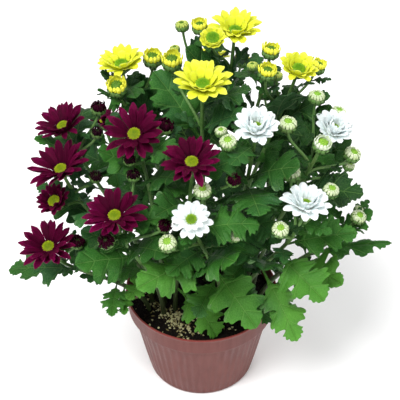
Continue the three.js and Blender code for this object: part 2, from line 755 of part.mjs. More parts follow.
// A leaf from its base and tip, with its upper face turned towards a hint. draws are three numbers
// from 0 to 1 that set its fold and its wave.
function leafTo(base, tip, hint, arch, width, draws) {
  const chord = tip.clone().sub(base);
  const length = chord.length() * (1 + (arch * arch) / 24);
  chord.normalize();
  const sideways = new THREE.Vector3().crossVectors(chord, hint).normalize();
  const upright = new THREE.Vector3().crossVectors(sideways, chord);
  const [bow, lean] = [Math.cos(arch / 2), Math.sin(arch / 2)];
  return {
    base,
    length,
    width,
    arch,
    sideways,
    direction: chord.clone().multiplyScalar(bow).addScaledVector(upright, lean),
    normal: upright.multiplyScalar(bow).addScaledVector(chord, -lean),
    fold: vary(GROWTH.fold, draws[0]),
    wave: vary(GROWTH.wave, draws[1]),
    phase: FULL_TURN * draws[2],
  };
}

// The leaf that grows by rule at a share of a stem, turned by some degrees from where it belongs.
function ruledLeaf(stem, share, index, turned, draws) {
  const base = stem.line.getPoint(share);
  const height = Math.max(0, (base.z - SOIL.crown) / GROWTH.climb);
  const outwards = Math.atan2(base.y, base.x);
  const spiral = radians(LEAF.turn * index) + draws[3];
  const azimuth = spiral + GROWTH.outwards * Math.sin(outwards - spiral) + radians(turned);
  const pitch = radians(vary(GROWTH.pitch, height) + GROWTH.pitchSpread * (draws[4] - 0.5));
  const length = lerp(LEAF.low, LEAF.high, height ** GROWTH.taper) * vary(GROWTH.length, draws[5]);
  const way = new THREE.Vector3(Math.cos(azimuth), Math.sin(azimuth), Math.tan(pitch)).normalize();
  const [right, forward] = [draws[6], draws[7]].map((draw) => GROWTH.tilt * (draw - 0.5));
  const hint = new THREE.Vector3(right, forward + GROWTH.forwards, 1);
  return leafTo(base, along(base, way, length), hint, vary(GROWTH.arch, draws[8]), GROWTH.width, draws);
}

// ---------- growing the plants ----------

// The way a bloom or bud faces.
const facing = ([x, y]) => new THREE.Vector3(x, y, 1).normalize();

// A stalk's curve from a start, along a first direction, and into its head.
function reachTo(start, way, first, end, axis, last) {
  return new THREE.CubicBezierCurve3(start, along(start, way, first), along(end, axis, -last), end);
}

const counts = {};
const numbered = (name) => {
  counts[name] = (counts[name] || 0) + 1;
  return name + "_" + counts[name];
};

// Everything that a blade keeps clear of: solids with their boxes and, where own is set, the stem
// whose own leaves may touch them.
const taken = [];
const take = (owner, made, own = false) => taken.push({ owner, made, own, box: made.boundingBox() });

const blooms = [];
function addBloom(kindName, head, axis) {
  const kind = KINDS[kindName];
  const spin = BLOOM_SPIN * head.at[0];
  const { reach, cupped = 0 } = head;
  const bloom = { kindName, kind, axis, spin, reach, cupped, centre: vec(head.at) };
  bloom.petals = rays(bloom);
  bloom.eye = disc(bloom);
  bloom.holder = new THREE.Group();
  bloom.holder.position.copy(bloom.centre);
  bloom.holder.quaternion.setFromUnitVectors(UP, axis);
  bloom.holder.updateMatrix();
  take(bloom, bloom.petals.transform(bloom.holder.matrix.elements));
  blooms.push(bloom);
  return bloom;
}

// The end of a stem or stalk: a bloom's cup, or a bud.
const neckOf = (head, axis) => along(vec(head.at), axis, head.reach ? -NECK.cup : -NECK.bud * head.radius);
const headOf = (kindName, head, axis) =>
  head.reach ? cup(addBloom(kindName, head, axis)) : bud(head, axis);

const stems = STEMS.map((plan) => {
  const { kind, root, heads, leaves } = plan;
  const end = plan.bloom || plan.bud;
  const axis = facing(end.lean);
  const foot = new THREE.Vector3(...root, SOIL.crown - HOLE.depth);
  const neck = neckOf(end, axis);
  const run = neck.distanceTo(foot);
  const curve = reachTo(foot, UP, run * STEM.rise, neck, axis, run * STEM.arrive);
  const line = chain(curve, STEM.rings);
  const stem = { name: numbered(kind + "_stem"), line, run, leaves };
  stem.pieces = [rod(curve, STEM), headOf(kind, end, axis)];
  for (const head of heads) {
    const headAxis = facing(head.lean);
    const headNeck = neckOf(head, headAxis);
    const start = line.getPoint(head.share);
    const pull = STALK.pull * headNeck.distanceTo(start);
    const stalk = reachTo(start, line.getTangent(head.share), pull, headNeck, headAxis, pull);
    stem.pieces.push(rod(stalk, STALK), headOf(kind, head, headAxis));
  }
  for (const piece of stem.pieces) take(stem, piece, true);
  return stem;
});

const thePot = pot();
const theSoil = soil();
take(null, thePot);
take(null, theSoil);

// True where a blade is clear of everything but its own stem and stalks.
function hasRoom(made, stem) {
  const { min, max } = made.boundingBox();
  return !taken.some(
    ({ made: other, box, owner, own }) =>
      !(own && owner === stem) &&
      [0, 1, 2].every((i) => min[i] - LEAF.clear < box.max[i] && max[i] + LEAF.clear > box.min[i]) &&
      made.minGap(other, LEAF.clear) < LEAF.clear,
  );
}

// True where a tip stands out of the dome that the leaves fill, hangs low beside the pot, or lies
// over the bare soil.
function outside({ x, y, z }) {
  const across = Math.hypot(x, y) / CROWN.reach;
  const up = Math.max(0, z - CROWN.middle) / CROWN.height;
  const bare = x > BARE.left && x < BARE.right && y < BARE.back && z < BARE.top;
  const low = Math.hypot(x, y) > SKIRT.reach && z < SKIRT.top;
  return bare || low || across * across + up * up > CROWN.fill;
}

// Adds the first of some leaves that has room, or none.
function grow(stem, leaves) {
  const made = leaves.map(blade).find((option) => hasRoom(option, stem));
  if (!made) return;
  stem.pieces.push(made);
  take(stem, made);
}

const random = stream(SEED);
const drawsOf = (count) => Array.from({ length: count }, random);

// Tries for room, in this order: small shifts of a large leaf's tip, and turns of a ruled leaf.
const SHIFTS = [0, 5, -5, 10, -10, 15, -15].flatMap((z) => [
  [0, 0, z],
  [0, -6, z],
  [6, 0, z],
  [-6, 0, z],
  [0, 6, z],
]);
const TURNS = [0, 28, -28, 56, -56, 90, -90, 130];
for (const stem of stems)
  for (const { share, tip, lean, width } of stem.leaves) {
    const draws = drawsOf(3);
    const base = stem.line.getPoint(share);
    const hint = new THREE.Vector3(0, -lean, 1);
    const tips = SHIFTS.map((shift) => vec(tip).add(vec(shift)));
    grow(stem, tips.map((end) => leafTo(base, end, hint, LARGE_ARCH, width, draws)));
  }
for (const stem of stems) {
  const room = stem.run - LEAF.first - LEAF.last;
  const count = Math.floor(room / LEAF.spacing) + 1;
  for (let i = 0; i < count; i++) {
    const draws = drawsOf(9);
    const share = (LEAF.first + (room * i) / (count - 1)) / stem.run;
    const options = TURNS.map((turned) => ruledLeaf(stem, share, i, turned, draws));
    grow(stem, options.filter((leaf) => !outside(leafPoint(leaf, 1, 0))));
  }
}

// ---------- the object ----------

const plant = new THREE.Group();
plant.add(mesh("pot", thePot, COLOURS.pot, 0.55));
plant.add(mesh("soil", theSoil, COLOURS.soil, 0.95));
for (const { name, pieces } of stems) plant.add(mesh(name, join(pieces), COLOURS.leaves));
for (const { kindName, kind, petals, eye, holder } of blooms) {
  holder.add(mesh(numbered(kindName + "_petals"), petals, kind.petals));
  holder.add(mesh(numbered(kindName + "_disc"), eye, kind.eye, 0.8));
  plant.add(holder);
}

export default plant;
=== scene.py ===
# Fine shapes and materials of a pot of young chrysanthemums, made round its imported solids.
# Sizes are in millimetres and turned into metres where each mesh is made. +Z is up and the front is -Y.
import math
from collections import Counter

import bmesh
import bpy
import numpy as np
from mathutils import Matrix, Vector, noise


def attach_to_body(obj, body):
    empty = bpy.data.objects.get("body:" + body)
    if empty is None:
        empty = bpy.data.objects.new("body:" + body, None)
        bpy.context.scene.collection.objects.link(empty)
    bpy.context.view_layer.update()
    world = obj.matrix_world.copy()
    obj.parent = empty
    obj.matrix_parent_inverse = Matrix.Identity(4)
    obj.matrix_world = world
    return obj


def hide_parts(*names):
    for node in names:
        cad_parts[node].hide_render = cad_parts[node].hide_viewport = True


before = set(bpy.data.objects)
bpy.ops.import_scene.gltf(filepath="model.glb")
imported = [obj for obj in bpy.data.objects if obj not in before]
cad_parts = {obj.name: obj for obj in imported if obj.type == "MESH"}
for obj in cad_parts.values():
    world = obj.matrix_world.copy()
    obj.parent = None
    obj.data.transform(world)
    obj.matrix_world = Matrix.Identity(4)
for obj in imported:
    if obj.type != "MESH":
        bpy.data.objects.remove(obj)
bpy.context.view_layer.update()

MM = 0.001
UP = np.array([0.0, 0.0, 1.0])
FULL_TURN = 2 * math.pi
GOLDEN_TURN = 137.5  # degrees from one leaf, or one floret, to the next

# ---------- the plants' places, as in the solids ----------

SOIL_CROWN = 86
HOLE_DEPTH = 12
# Radii of stems and stalks at both ends, and how straight they set out and arrive.
STEM = {"foot": 2.3, "top": 1.4, "rise": 0.36, "arrive": 0.3}
STEM_RINGS = (0, 0.055, 0.25, 0.45, 0.65, 0.83, 1)  # where a stem's solid bends, as shares of its curve
STALK = {"foot": 1.3, "top": 1.1, "pull": 0.4}
NECK = {"cup": 3.4, "bud": 0.55}  # from a bloom's middle down to its stalk, and the same in bud radii
TIER = 1.1  # height of a row of petals, each of which starts TIER_STEP further in than the last
TIER_STEP = 0.9
CAD_ROWS = {"yellow": 2, "crimson": 2, "white": 3}
BLOOM_SPIN = 0.37
DISC_RISE = 2.4
LEAF = {"low": 53, "high": 37, "spacing": 39, "first": 42, "last": 18, "waves": 9}
# How leaves grow by rule. Pairs are the least of a measure and its spread.
GROWTH = {
    "climb": 250,
    "pitch": (-32, 60),
    "pitch_spread": 24,
    "taper": 1.4,
    "outwards": 0.6,
    "length": (0.86, 0.28),
    "tilt": 0.4,
    "forwards": -0.15,
    "arch": (0.35, 0.7),
    "width": 0.95,
    "fold": (0.08, 0.3),
    "wave": (0.5, 0.7),
}
LARGE_ARCH = 0.5
SEED = 5
# Where there was no room, the solids have a leaf turned about its stem or with its tip moved.
TURNS = (0, 28, -28, 56, -56, 90, -90, 130)
TIP_SHIFTS = [shift for z in (0, 5, -5, 10, -10, 15, -15)
              for shift in ((0, 0, z), (0, -6, z), (6, 0, z), (-6, 0, z), (0, 6, z))]
FOUND = 0.3  # a blade grew where its tip is this near a corner of the solid


def bloom(at, reach, lean, cupped=0):
    """An open head: its middle, its petals' reach, how its axis leans and how much it closes."""
    return {"at": at, "reach": reach, "lean": lean, "cupped": cupped}


def bud(at, radius, lean, state="closed"):
    return {"at": at, "radius": radius, "lean": lean, "state": state}


def half_open(at, radius, lean):
    return bud(at, radius, lean, "half_open")


# Each stem: its root on the soil, the head at its end, its side heads and its large leaves. A side
# head and a leaf begin with the share of the stem where they grow. A leaf then has its tip, how far
# its face leans forwards and its width.
PLANTS = {
    "yellow": [
        ((14, 26), bloom((28, 58, 328), 25, (0.06, -0.16)),
         [(0.82, bloom((9, 18, 343), 11.8, (0, -0.45), 10)),
          (0.78, half_open((-1, 62, 330), 6.5, (-0.1, -0.1)))],
         [(0.8, (40, 50, 317), 0.2, 0.9), (0.72, (-13, 50, 318), 0.4, 0.9),
          (0.74, (32, 28, 308), 0.4, 0.9)]),
        ((-8, 24), bloom((-63, 8, 325), 21.5, (-0.1, -0.08)),
         [(0.78, half_open((-39, 20, 324), 7.4, (0, -0.2))),
          (0.76, half_open((-65, -18, 321), 7.6, (-0.1, -0.4)))],
         [(0.8, (-81, -14, 316), 0.2, 0.55), (0.84, (-86, 4, 312), 0.2, 0.8),
          (0.74, (-50, 20, 318), 0.3, 0.9), (0.68, (-76, -22, 290), 0.5, 0.7),
          (0.72, (-54, 4, 312), 0.3, 0.6), (0.62, (-48, 46, 288), 0.4, 0.95),
          (0.52, (-62, 44, 246), 0.2, 0.9)]),
        ((4, 16), bloom((1, -30, 330), 24.6, (0.02, -0.2)),
         [(0.8, half_open((-23, 2, 332), 7.8, (0, -0.3)))],
         [(0.82, (34, -40, 312), 0.4, 0.9), (0.76, (-38, 8, 320), 0.4, 0.9),
          (0.72, (36, -14, 304), 0.3, 0.9), (0.62, (-32, 40, 280), 0.4, 0.95)]),
        ((20, 18), bloom((78, 18, 315), 18.4, (0.16, -0.3), 8),
         [(0.8, half_open((96, 38, 306), 6.6, (0.3, 0))), (0.78, bud((60, 4, 318), 4.4, (0, 0))),
          (0.76, half_open((51, -8, 328), 6.8, (0.1, -0.2)))],
         [(0.76, (68, -12, 310), 0.4, 0.9), (0.74, (106, 16, 292), 0.2, 0.8),
          (0.66, (80, 38, 290), 0.3, 0.95), (0.56, (92, 42, 262), 0.3, 0.95)]),
        ((14, 38), half_open((56, 28, 326), 6.8, (0.1, -0.1)),
         [(0.86, bud((41, 14, 321), 4.4, (-0.1, 0)))],
         [(0.84, (66, 54, 298), 0.2, 0.9), (0.74, (36, 20, 290), 0.4, 0.95)]),
        ((-4, 38), bloom((8, 102, 276), 21, (0.05, 0.5)),
         [(0.78, bud((-16, 72, 326), 5.6, (-0.1, 0))), (0.76, bud((-22, 54, 314), 4.2, (-0.1, 0))),
          (0.76, half_open((36, 98, 276), 6, (0.2, 0.3)))],
         [(0.66, (-48, 88, 262), -0.2, 1), (0.62, (30, 118, 236), -0.2, 1)]),
    ],
    "crimson": [
        ((-44, -2), bloom((-111, -8, 277), 24.6, (-0.26, -0.14), 8),
         [(0.84, half_open((-84, 8, 285), 6.2, (0.1, -0.1))),
          (0.84, bud((-84, -14, 276), 4.8, (0.2, -0.2)))],
         [(0.84, (-134, -20, 274), 0.2, 0.7), (0.78, (-124, 30, 252), 0.2, 1),
          (0.74, (-92, -32, 248), 0.5, 1)]),
        ((-34, -14), bloom((-50, -58, 304), 25.5, (-0.1, -0.56)),
         [(0.84, half_open((-28, -38, 298), 6.4, (0.3, -0.2))),
          (0.8, bud((-54, -66, 287), 4.8, (0, -0.5)))],
         [(0.76, (-86, -50, 284), 0.4, 0.9), (0.72, (-16, -76, 276), 0.5, 0.9)]),
        ((-45, -11), bloom((-110, -46, 262), 28.6, (-0.22, -0.16), 5),
         [(0.86, bud((-84, -44, 254), 5, (0.2, -0.3))),
          (0.8, bloom((-116, -56, 238), 16.8, (-0.3, -0.4), 20))],
         [(0.72, (-76, -86, 246), 0.5, 0.9), (0.66, (-128, -30, 226), 0.3, 0.9),
          (0.76, (-134, -34, 238), 0.3, 0.8)]),
        ((-24, -22), bloom((-7, -82, 295), 24, (0, -0.3)),
         [(0.8, half_open((24, -80, 278), 5.4, (0.2, -0.5)))],
         [(0.78, (-34, -104, 268), 0.5, 0.9), (0.7, (-46, -60, 262), 0.5, 0.9),
          (0.66, (-12, -78, 250), 0.5, 0.7)]),
        ((-34, -27), bloom((-65, -94, 254), 26, (-0.06, -0.3)),
         [(0.84, half_open((-72, -102, 237), 6.4, (-0.1, -0.7))),
          (0.8, bud((-52, -66, 272), 5.2, (0, -0.2))),
          (0.76, half_open((-28, -98, 248), 5, (0.3, -0.5)))],
         [(0.62, (-99, -94, 206), 0.6, 0.9), (0.74, (-24, -112, 232), 0.5, 0.9),
          (0.42, (-62, -74, 148), 0.5, 0.9), (0.7, (-103, -62, 219), 0.5, 0.9)]),
        ((-47, -20), bloom((-124, -64, 197), 26.6, (-0.12, -0.3)),
         [(0.86, half_open((-102, -58, 198), 6.2, (0.2, -0.4)))],
         [(0.68, (-165, -45, 155), 0.15, 0.75), (0.7, (-110, -58, 181), 0.5, 0.9),
          (0.42, (-76, -76, 130), 0.6, 0.7), (0.36, (-66, -68, 124), 0.6, 0.7)]),
        ((-38, 8), bloom((-88, 74, 226), 22.5, (-0.3, 0.4)),
         [(0.8, half_open((-60, 76, 244), 5.6, (0.1, 0.2)))],
         [(0.72, (-120, 66, 204), 0.1, 1), (0.6, (-70, 106, 196), -0.2, 1)]),
    ],
    "white": [
        ((24, -12), bloom((41, -58, 309), 20, (0.02, -0.36), 10),
         [(0.82, bud((20, -68, 304), 6.4, (-0.1, -0.3))), (0.8, bud((15, -54, 304), 4.6, (-0.1, -0.1)))],
         [(0.74, (74, -74, 286), 0.5, 0.9), (0.7, (44, -98, 258), 0.5, 0.9),
          (0.52, (28, -82, 194), 0.5, 1), (0.72, (22, -48, 284), 0.4, 0.9),
          (0.6, (33, -88, 242), 0.6, 0.9)]),
        ((40, 0), bloom((105, -18, 281), 19.2, (0.2, -0.42), 14),
         [(0.82, bud((112, 6, 282), 6, (0.2, 0))), (0.74, bud((92, -2, 302), 6.4, (0.1, -0.1)))],
         [(0.74, (106, 22, 284), 0.2, 0.8), (0.7, (126, 8, 254), 0.2, 0.9),
          (0.5, (130, -4, 202), 0.3, 0.9)]),
        ((36, -18), bloom((79, -84, 256), 21.3, (0.06, -0.14), 6),
         [(0.8, bud((70, -57, 267), 7, (0, -0.1))), (0.84, bud((101, -62, 254), 6.4, (0.2, -0.2))),
          (0.76, bud((60, -96, 243), 6.4, (0, -0.4)))],
         [(0.62, (99, -98, 170), 0.7, 1), (0.72, (124, -72, 220), 0.5, 0.8),
          (0.44, (82, -85, 110), 0.7, 0.7), (0.5, (56, -86, 192), 0.6, 0.9)]),
        ((20, -26), bloom((-7, -106, 260), 16.8, (-0.08, -0.55)),
         [(0.8, bud((1, -92, 277), 6.6, (0, -0.3))), (0.72, bud((-25, -112, 243), 6.8, (-0.1, -0.4))),
          (0.66, bud((26, -96, 236), 4.2, (0.2, -0.4)))],
         [(0.62, (-50, -112, 197), 0.7, 0.85), (0.44, (46, -92, 133), 0.8, 1),
          (0.36, (-4, -81, 134), 0.6, 1), (0.58, (26, -105, 209), 0.7, 1)]),
        ((46, -8), half_open((93, -46, 286), 6.8, (0.2, -0.3)),
         [(0.86, bud((66, -44, 304), 6.8, (0, -0.2))), (0.84, bud((122, -22, 260), 6.8, (0.3, -0.2))),
          (0.78, bud((121, -18, 246), 4.8, (0.3, 0)))],
         [(0.74, (129, -52, 243), 0.4, 0.9)]),
        ((50, -16), bud((128, -48, 216), 6.2, (0.3, -0.3)),
         [(0.84, bud((132, -26, 206), 4, (0.4, 0)))],
         [(0.82, (140, -46, 221), 0.4, 0.8), (0.56, (162, -36, 178), 0.15, 0.34),
          (0.5, (117, -74, 165), 0.6, 0.9), (0.44, (107, -64, 148), 0.6, 0.8),
          (0.38, (64, -80, 122), 0.7, 0.7)]),
        ((38, 14), bloom((84, 76, 238), 19, (0.25, 0.4)),
         [(0.8, bud((58, 86, 250), 6.2, (0, 0.2))), (0.76, bud((108, 56, 240), 5.4, (0.3, 0.1)))],
         [(0.7, (122, 74, 208), 0.1, 1), (0.6, (64, 112, 198), -0.2, 1)]),
    ],
}

# ---------- the fine forms ----------

# Right half of a leaf's edge: place along the midrib, place out from it, and where the ruling to it
# leaves the midrib, all as shares of the leaf's length.
LEAF_EDGE = [
    (0.00, 0.020, 0.00), (0.15, 0.022, 0.13), (0.22, 0.040, 0.19), (0.265, 0.075, 0.22),
    (0.275, 0.120, 0.235), (0.300, 0.150, 0.25), (0.320, 0.135, 0.26), (0.338, 0.180, 0.275),
    (0.340, 0.240, 0.29), (0.352, 0.292, 0.30), (0.392, 0.268, 0.32), (0.412, 0.320, 0.335),
    (0.440, 0.372, 0.35), (0.472, 0.352, 0.37), (0.474, 0.306, 0.38), (0.520, 0.330, 0.40),
    (0.545, 0.318, 0.42), (0.538, 0.260, 0.43), (0.542, 0.190, 0.45), (0.556, 0.134, 0.475),
    (0.582, 0.132, 0.50), (0.598, 0.190, 0.52), (0.602, 0.258, 0.54), (0.645, 0.248, 0.56),
    (0.665, 0.295, 0.58), (0.702, 0.332, 0.60), (0.732, 0.312, 0.62), (0.732, 0.264, 0.64),
    (0.775, 0.278, 0.66), (0.797, 0.258, 0.68), (0.786, 0.200, 0.70), (0.788, 0.140, 0.72),
    (0.810, 0.110, 0.75), (0.836, 0.146, 0.77), (0.862, 0.188, 0.79), (0.878, 0.146, 0.82),
    (0.916, 0.160, 0.84), (0.932, 0.136, 0.87), (0.930, 0.104, 0.89), (0.962, 0.104, 0.91),
    (0.978, 0.074, 0.94), (0.984, 0.040, 0.97), (1.000, 0.018, 1.00),
]
# Veins of a blade's half, from the midrib outwards, in the same shares.
SIDE_VEINS = [
    ((0.28, 0), (0.445, 0.345)),
    ((0.50, 0), (0.705, 0.31)),
    ((0.72, 0), (0.86, 0.165)),
    ((0.20, 0), (0.30, 0.13)),
]
BRANCH_VEINS = [
    ((0.33, 0.105), (0.352, 0.265)),
    ((0.38, 0.21), (0.535, 0.30)),
    ((0.585, 0.13), (0.61, 0.235)),
    ((0.63, 0.20), (0.785, 0.25)),
]
LEAF_ROWS = {"large": 85, "small": 31}
LEAF_COLUMNS = {"large": 4, "small": 2}
BLUNT_SPAN = 0.036  # the teeth of the bluntest leaves are evened out over this share of the edge
LEAF_SKIN = 0.22  # half the thickness of a blade
LEAF_QUILT = 0.65  # how far a blade swells between its veins
LEAF_RUFFLE = 0.034  # ripple of the edge, as a share of the length
LEAF_CURL = 0.05  # droop of the edge, as a share of the length
# Each half's edge swells and juts by these shares, in waves of these numbers of radians a length.
EDGE_SWELL, SWELL_WAVES = 0.1, 8
EDGE_JUT, JUT_WAVES = 0.012, 13
RUFFLE_WAVES = 24
VEIN_TROUGH = 0.022  # half width of the trough along a vein
STALK_SHARE = 0.2  # the part of a blade's length that is mostly stalk
KEEL, STALK_KEEL = 0.4, 0.45  # how far the midrib and the stalk stand out below
# The base tone of a leaf, how much brighter it is low at the front, and the random spread.
BASE_TONE, LOW_FRONT_TONE, TONE_SPREAD = 0.23, 0.6, 0.5  # tones of leaves, from 0 for dark to 1 for bright
# Young leaves: where they grow on a stem, low on a stem at the back, and on a stalk, and their length.
YOUNG_ON_STEM = ((0.38, 0.48, 0.57, 0.65, 0.73, 0.81, 0.89), 26)
YOUNG_LOW = ((0.12, 0.2, 0.28), 34)
YOUNG_ON_STALK = ((0.3, 0.55, 0.8), 17)

# Rows of ray petals from the outside in: how many, the share of the bloom's reach, the slope in
# degrees at the root and at the tip. A cupped bloom has the rows of "closed" too. A petal is widest
# at its shoulder: root and waist are its width at the foot and at the tip, as shares of that. tip is
# how far it is rounded off and how bluntly, notch splits it, dish hollows it and fill is its width as
# a share of the room that it has. disc is the radius of the eye's seat, and inset how far the eye
# keeps within it.
RAYS = {
    "yellow": {
        "rows": ((13, 1.0, 32, 14), (12, 0.92, 48, 36), (7, 0.62, 60, 54)), "closed": (),
        "disc": 5.8, "inset": 0.7, "root": 0.42, "shoulder": 0.56, "waist": 0.68,
        "tip": (0.19, 1.7), "notch": 0.025, "dish": 0.26, "fill": 0.95,
    },
    "crimson": {
        "rows": ((15, 1.0, 28, 12), (13, 0.9, 44, 30)), "closed": (),
        "disc": 5.7, "inset": 1.1, "root": 0.42, "shoulder": 0.58, "waist": 0.62,
        "tip": (0.2, 1.6), "notch": 0.012, "dish": 0.28, "fill": 0.76,
    },
    "white": {
        "rows": ((13, 1.0, 26, 10), (12, 0.96, 46, 34)), "closed": ((12, 0.92, 58, 52), (11, 0.8, 68, 72)),
        "disc": 5.0, "inset": 0.3, "root": 0.5, "shoulder": 0.58, "waist": 0.7,
        "tip": (0.19, 1.9), "notch": 0.025, "dish": 0.34, "fill": 0.9,
    },
}
# How unevenly petals grow: the turn in steps, slopes in degrees, and the rest as shares.
UNEVEN = {"turn": 0.1, "slope": 5, "swerve": 0.05, "length": (0.88, 1.04), "width": (0.86, 1.04)}
PETAL_RIDGE = 0.12
PETAL_TWIST = 0.22
DISC_FLORETS = 110
# Outline of a bud's green cup: radius and height in bud radii.
BUD_CUP = ((0.16, -0.95), (0.34, -0.88), (0.72, -0.62), (0.93, -0.28), (0.98, 0), (0.9, 0.16), (0.75, 0.1))
# Numbers of the paints in the skin of a stem, and in the skin of its buds.
TOP_PAINT, UNDER_PAINT, STALK_PAINT = 0, 1, 2
CROWN_PAINT, CORE_PAINT, TIGHT_PAINT = 0, 1, 2
# What the buds of a kind look like: their form while closed and half open, and how wide they gape in
# the middle as a share of the widest.
BUD_KINDS = {
    "yellow": {"closed": "tight", "half_open": "crown", "gape": 0.8},
    "crimson": {"closed": "brush", "half_open": "open_brush", "gape": 0.5},
    "white": {"closed": "tight", "half_open": "cup", "gape": 1.0},
}
# Rings of bud petals: how many, three points of their line, half width and dish, in bud radii. core
# is the outline of the green middle, and ragged is how uneven the petals are.
BUDS = {
    "tight": {
        "rings": (
            (15, ((0.86, 0.02), (0.95, 0.4), (0.66, 0.68)), 0.165, -0.3),
            (13, ((0.62, 0.3), (0.74, 0.6), (0.42, 0.7)), 0.135, -0.3),
        ),
        "core": ((0.7, 0.1), (0.62, 0.45), (0.3, 0.6), (0.05, 0.62)),
        "florets": 26, "ragged": 0.06, "paint": TIGHT_PAINT,
    },
    "brush": {
        "rings": (
            (15, ((0.82, 0.02), (1.0, 0.42), (0.9, 0.82)), 0.13, -0.4),
            (12, ((0.64, 0.2), (0.86, 0.58), (0.62, 0.92)), 0.12, -0.4),
            (9, ((0.42, 0.3), (0.6, 0.66), (0.36, 0.92)), 0.11, -0.4),
        ),
        "core": ((0.7, 0.1), (0.66, 0.3), (0.4, 0.5), (0.05, 0.54)),
        "florets": 16, "ragged": 0.16, "paint": TIGHT_PAINT,
    },
    "open_brush": {
        "rings": (
            (15, ((0.74, 0.05), (1.04, 0.42), (1.02, 0.92)), 0.17, 0.3),
            (13, ((0.6, 0.1), (0.88, 0.5), (0.74, 1.02)), 0.15, 0.3),
            (9, ((0.4, 0.2), (0.58, 0.6), (0.4, 0.98)), 0.13, 0.3),
        ),
        "core": ((0.7, 0.1), (0.66, 0.3), (0.4, 0.5), (0.05, 0.54)),
        "florets": 20, "ragged": 0.16, "paint": CROWN_PAINT,
    },
    "crown": {
        "rings": (
            (13, ((0.72, 0.05), (1.04, 0.44), (1.16, 0.98)), 0.23, 0.5),
            (12, ((0.6, 0.1), (0.9, 0.5), (0.88, 1.04)), 0.21, 0.5),
        ),
        "core": ((0.7, 0.1), (0.7, 0.46), (0.46, 0.66), (0.05, 0.7)),
        "florets": 30, "ragged": 0.13, "paint": CROWN_PAINT,
    },
    "cup": {
        "rings": (
            (13, ((0.72, 0.05), (1.02, 0.42), (1.0, 0.92)), 0.24, 0.4),
            (12, ((0.6, 0.1), (0.86, 0.46), (0.66, 0.94)), 0.22, 0.4),
        ),
        "core": ((0.7, 0.1), (0.66, 0.46), (0.42, 0.66), (0.05, 0.7)),
        "florets": 30, "ragged": 0.06, "paint": CROWN_PAINT,
    },
}


def unit(vectors):
    vectors = np.asarray(vectors, float)
    return vectors / np.linalg.norm(vectors, axis=-1, keepdims=True)


def lerp(a, b, share):
    return a + (b - a) * share


def smooth(low, high, value):
    """Rises gently from 0 at low to 1 at high."""
    share = np.clip((value - low) / (high - low), 0, 1)
    return share * share * (3 - 2 * share)


def vary(bounds, draw):
    least, spread = bounds
    return least + spread * draw


def stream(seed):
    """The numbers from 0 to 1 that set how the solids' leaves grow."""
    mask = 0xFFFFFFFF
    state = seed
    while True:
        state = (state + 0x6D2B79F5) & mask
        mixed = ((state ^ (state >> 15)) * (state | 1)) & mask
        mixed ^= (mixed + (((mixed ^ (mixed >> 7)) * (mixed | 61)) & mask)) & mask
        yield (mixed ^ (mixed >> 14)) / 4294967296


def curve_points(handles, share):
    """Points of a cubic curve, at one share or an array of them."""
    a, b, c, d = handles
    share = np.asarray(share, float)[..., None]
    rest = 1 - share
    return rest**3 * a + 3 * rest**2 * share * b + 3 * rest * share**2 * c + share**3 * d


class Chain:
    """Straight stretches between points of a curve, with places on it by length."""

    def __init__(self, handles, rings):
        self.handles = handles
        self.rings = np.array(rings, float)
        self.points = curve_points(handles, self.rings)
        steps = np.linalg.norm(np.diff(self.points, axis=0), axis=1)
        self.lengths = np.concatenate([[0], np.cumsum(steps)])

    def at(self, share):
        """A point of the chain, its direction, and the point of the smooth curve beside it."""
        distance = share * self.lengths[-1]
        i = int(np.clip(np.searchsorted(self.lengths, distance) - 1, 0, len(self.rings) - 2))
        part = (distance - self.lengths[i]) / (self.lengths[i + 1] - self.lengths[i])
        way = unit(self.points[i + 1] - self.points[i])
        beside = curve_points(self.handles, lerp(self.rings[i], self.rings[i + 1], part))
        return lerp(self.points[i], self.points[i + 1], part), way, beside


def turning(axis):
    """The matrix that turns +Z to an axis by the shortest way."""
    return np.array(Vector(UP).rotation_difference(Vector(axis)).to_matrix())


def circle(sides):
    """Points at even steps round a circle of radius 1 about +Z."""
    turn = np.linspace(0, FULL_TURN, sides, endpoint=False)
    return np.stack([np.cos(turn), np.sin(turn), 0 * turn], -1)


# ---------- meshes ----------


def grid_faces(numbers):
    """Four-sided faces between the points of a grid, given by their numbers."""
    corners = [numbers[:-1, :-1], numbers[:-1, 1:], numbers[1:, 1:], numbers[1:, :-1]]
    return np.stack(corners, -1).reshape(-1, 4)


def hoop_faces(count, sides):
    """Faces between loops of points, numbered one loop after the other."""
    numbers = np.arange(count * sides).reshape(count, sides)
    return grid_faces(np.concatenate([numbers, numbers[:, :1]], axis=1))


